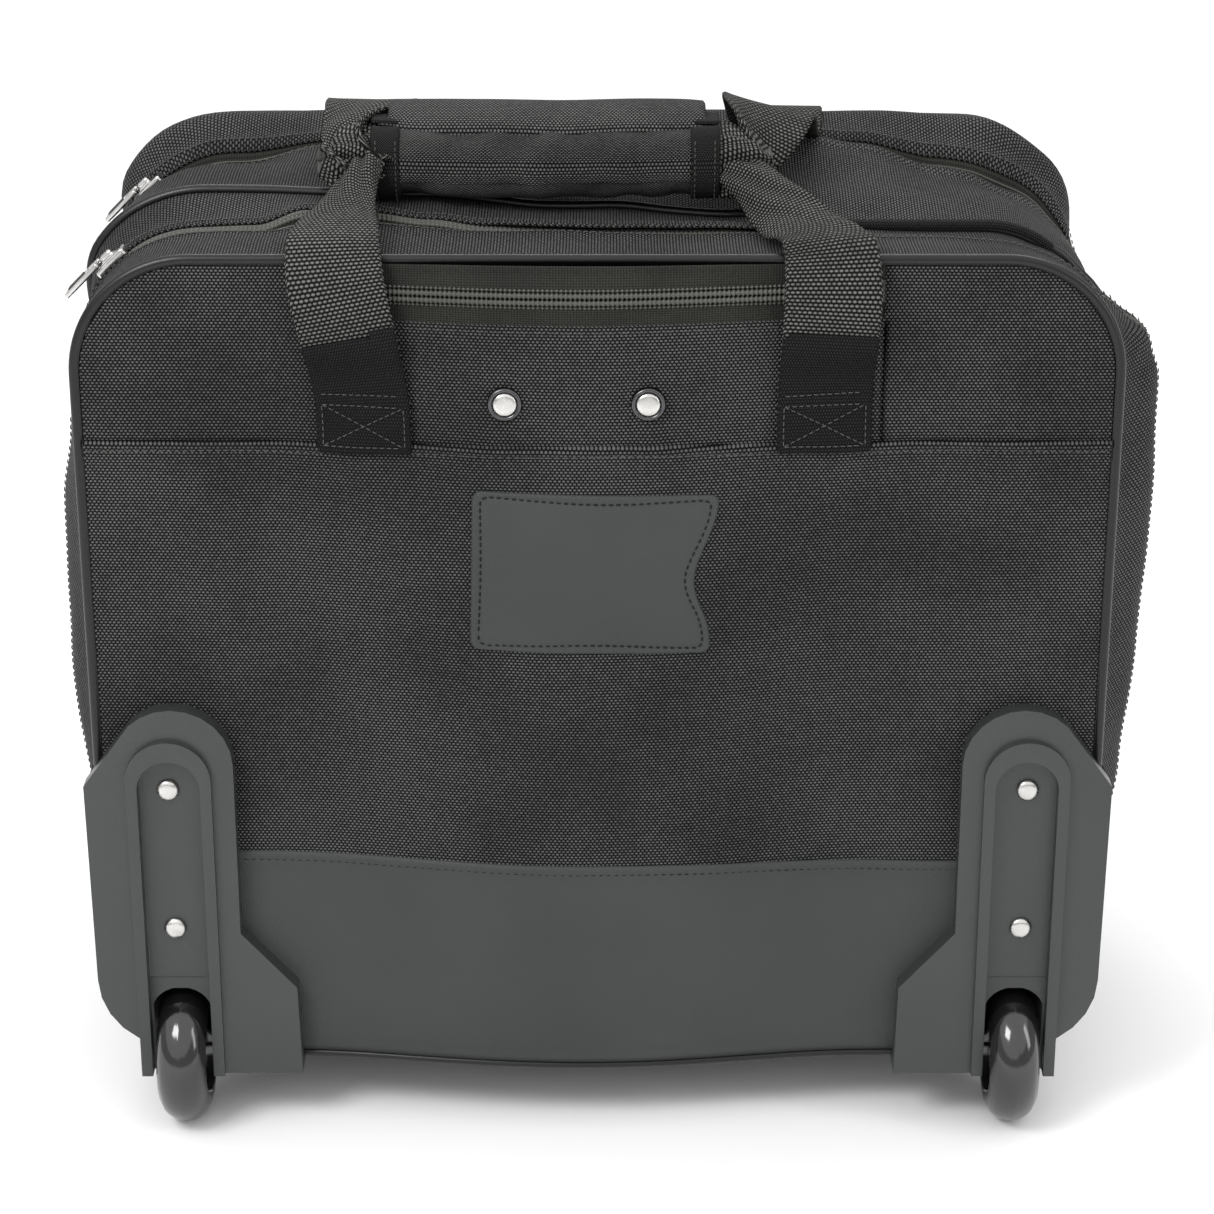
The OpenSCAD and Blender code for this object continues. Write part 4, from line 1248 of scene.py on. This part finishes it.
def build_opening_head(side, x):
    """The plate that closes the housing's opening above the wheel with an arch."""
    top, rise = 73.4, 13.4
    arch = [(rise * cos(radians(a)), 56 + 12.4 * sin(radians(a))) for a in range(0, 181, 12)]
    outer = [(max(-14.4, min(14.4, px * 1.6)), top if abs(px) < 12 else 60 + rise * (pz - 56) / 6)
             for px, pz in arch]
    verts = [Vector((x + px, v, min(pz, top))) for v in (-7.2, -4.6) for px, pz in arch + outer]
    n = len(arch)
    faces = [(i, i + 1, n + i + 1, n + i) for i in range(n - 1)]
    faces += [tuple(reversed([k + 2 * n for k in f])) for f in faces]
    faces += [(i + 1, i, i + 2 * n, i + 1 + 2 * n) for i in range(n - 1)]
    Piece().add(verts, faces).done(
        side + "_opening_head", "rear_section", "moulded_plastic", PLASTIC, smooth=False)


def repaint(node, material):
    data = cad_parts[node].data
    data.materials.clear()
    data.materials.append(material)
    return data


def build_wheels():
    for side, x in (("left", -WHEEL_X), ("right", WHEEL_X)):
        build_tyre(side, x)
        soften(side + "_hub", side + "_wheel", HUB, 0.8, 2)
        soften(side + "_wheel_housing", "rear_section", PLASTIC, 1.5, 4)
        repaint(side + "_axle", STEEL)
        repaint(side + "_bearings", STEEL)
        build_opening_head(side, x)
    rivets = Piece()
    head = [(0, 2.3), (2.6, 2.2), (4.0, 1.8), (4.8, 1.0), (5, 0), (2, -0.3), (2, -4)]
    for x in (-WHEEL_X - 1, WHEEL_X + 1):
        for z in (98, 165):
            rivets.revolve((x, -7, z), (0, -1, 0), head, 32)
    rivets.done("housing_rivet_heads", "rear_section", "rivets", RIVET, ["housing_rivets"])
    soften("skid_feet", "rear_section", PLASTIC, 1.2)


def build_rivets():
    for name, material, replaced, profile in (
            ("handle_rivet_rings", RIVET_DARK, [],
             [(4.9, 1.2), (5.2, 2.3), (5.7, 2.9), (6.4, 3.0), (7.0, 2.5), (7.3, 1.4), (7.3, -0.6)]),
            ("handle_rivet_heads", RIVET, ["handle_rivets"],
             [(0, 3.4), (3.2, 3.35), (4.4, 3.1), (5.0, 2.5), (5.1, 1.0), (2, 0.9), (2, -19)])):
        piece = Piece()
        for x in RIVETS:
            piece.revolve((x, panel_v(x, RIVET_Z) + 0.3, RIVET_Z), (0, -1, 0), profile)
        piece.done(name, "rear_section", "rivets", material, replaced)


def build_handle():
    for node, body, slot, material, width in (
            ("handle_outer_tubes", "rear_section", "handle_tubes", ALLOY, 0.6),
            ("handle_top_bracket", "rear_section", "moulded_plastic", PLASTIC, 0.8),
            ("handle_base_bracket", "rear_section", "moulded_plastic", PLASTIC, 0.8),
            ("handle_middle_stage", "handle_middle_stage", "handle_tubes", ALLOY, 0.8),
            ("handle_inner_stage", "tow_handle", "handle_tubes", ALLOY, 0.8),
            ("tow_grip", "tow_handle", "moulded_plastic", HUB, 3.0),
            ("release_button", "release_button", "button_plastic", BUTTON, 1.2)):
        soften(node, body, material, width)


def build_insert(zone, at):
    """The black insert in a large zip's puller, which lies along the top left corner."""
    diagonal = sqrt(0.5)
    u, n = Vector((diagonal, 0, diagonal)), Vector((-diagonal, 0, diagonal))
    origin = Vector((TOP_R - HALF, at, TOP - TOP_R)) + n * (TOP_R + 6.3)
    mid, half, w, h = -17.1, 4.5, 2.9, 1.5
    box = []
    for d, k, share in ((-h, 0.86, 0.97), (-h * 0.6, 1, 1), (h * 0.6, 1, 1), (h, 0.86, 0.97)):
        for a, b in ((-half, -w), (half, -w), (half, w), (-half, w)):
            box.append(origin + u * (mid + a * share) + Vector((0, b * k, 0)) + n * d)
    faces = [(3, 2, 1, 0), (12, 13, 14, 15)]
    for r in range(0, 12, 4):
        faces += [(r + i, r + (i + 1) % 4, r + 4 + (i + 1) % 4, r + 4 + i) for i in range(4)]
    Piece().add(box, faces).done(
        zone + "_puller_insert", zone + "_puller", "button_plastic", BUTTON, smooth=False)


def build_sliders():
    for zone in ("rear_zip", "main_zip", "pocket_zip", "handle_zip"):
        soften(zone + "_slider", zone + "_slider", CHROME, 1.4, 4)
        soften(zone + "_puller", zone + "_puller", CHROME, 0.8, 3)
    build_insert("rear_zip", ZIP1)
    build_insert("main_zip", ZIP2)


def build_front_pocket(front_threads):
    lo, hi = limits("front_pocket")
    back, face, top = FRONT + 0.3, hi[1] - Y0, hi[2]
    outline = rounded([(lo[0], lo[2]), (hi[0], lo[2]), (hi[0], top), (lo[0], top)], 24, 9)
    rows = [(0, 0), (0, 5), (0.3, 9), (1.6, 12), (4, 13.6), (9, 14.4), (20, 15)]
    rows += [(-k / 10, 16.2) for k in (8.5, 7, 5.5, 4, 2.5, 1, 0.2)]
    pocket = patch(outline, lambda x, z: 0.0, rows)

    def outward(q):
        puff = wobble(q[0], 4, q[2], 45, 1.2) if -q[1] > 13 else 0
        return Vector((q[0], back - q[1] * (face - back) / 15 + puff, q[2]))

    pocket.verts = [outward(q) for q in pocket.verts]
    pocket.faces = [tuple(reversed(f)) for f in pocket.faces]
    pocket.done("front_pocket_fabric", "front_section", "ballistic_nylon", NYLON, ["front_pocket"])
    shrunk, centre_z = 0.998, 206
    ring = [Vector((x * shrunk, face - 3.2, (z - centre_z) * shrunk + centre_z)) for x, z in outline]
    Piece().tube(ring, 1.6, 8, closed=True).done("front_pocket_piping", "front_section", "piping", PIPING)
    xs, across = span(-178, 178, 3.0), (0.6, 2.5, 5, 8, 11)
    grid = [[Vector((x, back + d, top + 0.6)) for d in across] for x in xs]
    Piece().sheet(grid, 0.8, [[(x, d) for d in across] for x in xs]).done(
        "pocket_zip_cloth", "front_section", "zip_tape", TAPE, ["pocket_zip"])
    coil = Piece()
    for d in (4.9, 7.0):
        coil.tube([(x, back + d, top + 1.4) for x in span(-177, 177, COIL_STEP)], coil_size(0.98), 6)
    coil.done("pocket_zip_coil", "front_section", "zip_tape", COIL)
    front_threads.stitches([(x, face + 0.75, 150) for x in span(-170, 170, 4)], (0, 1, 0))


def build_inside():
    for node, material in (("divider_panel", LINING), ("file_divider", LINING), ("laptop_sleeve", LINING),
                           ("back_board", BOARD), ("base_tray", BOARD)):
        data = repaint(node, material)
        layer = data.attributes.new("cloth", "FLOAT_VECTOR", "POINT")
        for i, q in enumerate(data.vertices):
            layer.data[i].vector = (q.co.x + 0.7 * q.co.y, q.co.z + 0.7 * q.co.y, 0)
    inset = TOP - limits("divider_panel")[1][2]
    around = [Vector((p[0] - p[2] * inset, DIVIDER, p[1] - p[3] * inset)) for p in rim() if p[1] > 90]
    file_at, file_top = 119.25, limits("file_divider")[1][2]
    straight = [Vector((x, file_at, file_top)) for x in span(-204, 204, 4)]
    for name, path in (("divider", around), ("file", straight)):
        Piece().tube(path, 2.6, 10).done(name + "_binding", "middle_section", "lining", BINDING)


threads, mid_threads, front_threads, dark_threads = (Piece() for _ in range(4))
build_upper_panel()
build_lower_panel(threads)
build_band(dark_threads)
build_rear_wall()
build_middle_wall()
build_zip_tapes()
build_zip_ends()
stitch_zips(threads, mid_threads, front_threads)
build_cord("rear_piping", "rear_section", 0, 0.6, 172)
build_cord("middle_piping", "middle_section", DIVIDER, 0, 98)
build_front()
build_handle_zip(threads)
build_tag(dark_threads)
build_straps(threads)
build_grip()
build_flap()
build_gathers()
build_wheels()
build_rivets()
build_handle()
build_sliders()
build_front_pocket(front_threads)
build_inside()
for piece, name, body, slot, thread in (
        (threads, "rear_stitches", "rear_section", "ballistic_nylon", THREAD),
        (dark_threads, "leather_stitches", "rear_section", "leatherette", THREAD_DARK),
        (mid_threads, "middle_stitches", "middle_section", "ballistic_nylon", THREAD),
        (front_threads, "front_stitches", "front_section", "ballistic_nylon", THREAD)):
    piece.done(name, body, slot, thread)


# ---- Stage ----

def area(name, size, energy, place, target=(0, 0, 0.2), colour=(1, 1, 1)):
    data = bpy.data.lights.new(name, "AREA")
    data.shape = "RECTANGLE"
    data.size, data.size_y = size
    data.energy = energy
    data.color = colour
    obj = bpy.data.objects.new(name, data)
    obj.location = place
    obj.rotation_euler = (Vector(target) - Vector(place)).to_track_quat("-Z", "Y").to_euler()
    bpy.context.collection.objects.link(obj)


floor_mesh = bpy.data.meshes.new("floor")
floor_mesh.from_pydata([(-9, -9, 0), (9, -9, 0), (9, 9, 0), (-9, 9, 0)], [], [(0, 1, 2, 3)])
floor = bpy.data.objects.new("floor", floor_mesh)
bpy.context.collection.objects.link(floor)
floor_nodes = Nodes("floor", 0.9, specular=0.1)
floor_mesh.materials.append(floor_nodes.done((0.93, 0.93, 0.93)))

world = bpy.data.worlds.new("studio")
world.use_nodes = True
backdrop = world.node_tree.nodes["Background"].inputs
backdrop[0].default_value = (1, 1, 1, 1)
backdrop[1].default_value = 0.56
bpy.context.scene.world = world
sky = bpy.data.lights.new("overhead", "SUN")
sky.energy = 1.75
sky.angle = radians(120)
overhead = bpy.data.objects.new("overhead", sky)
overhead.rotation_euler = Vector((0.10, 0.30, -0.95)).to_track_quat("-Z", "Y").to_euler()
bpy.context.collection.objects.link(overhead)
area("key", (0.6, 0.5), 11, (-0.75, -0.9, 1.25))
area("side", (0.3, 0.9), 3.5, (1.3, -0.6, 0.8))
area("rim", (1.6, 0.25), 9, (0.2, 0.9, 1.5), (0, -0.05, 0.4))
bpy.context.scene.view_settings.view_transform = "Standard"

camera = bpy.data.cameras.new("camera")
camera.lens = 97.6
camera.sensor_width = 36
camera.clip_end = 40
view = bpy.data.objects.new("camera", camera)
tilt = radians(22)
aim = Vector((0.004, Y0 / 1000, 0.2474))
view.location = aim + 1.4 * Vector((0, -cos(tilt), sin(tilt)))
view.rotation_euler = (radians(68), 0, 0)
bpy.context.collection.objects.link(view)
bpy.context.scene.camera = view
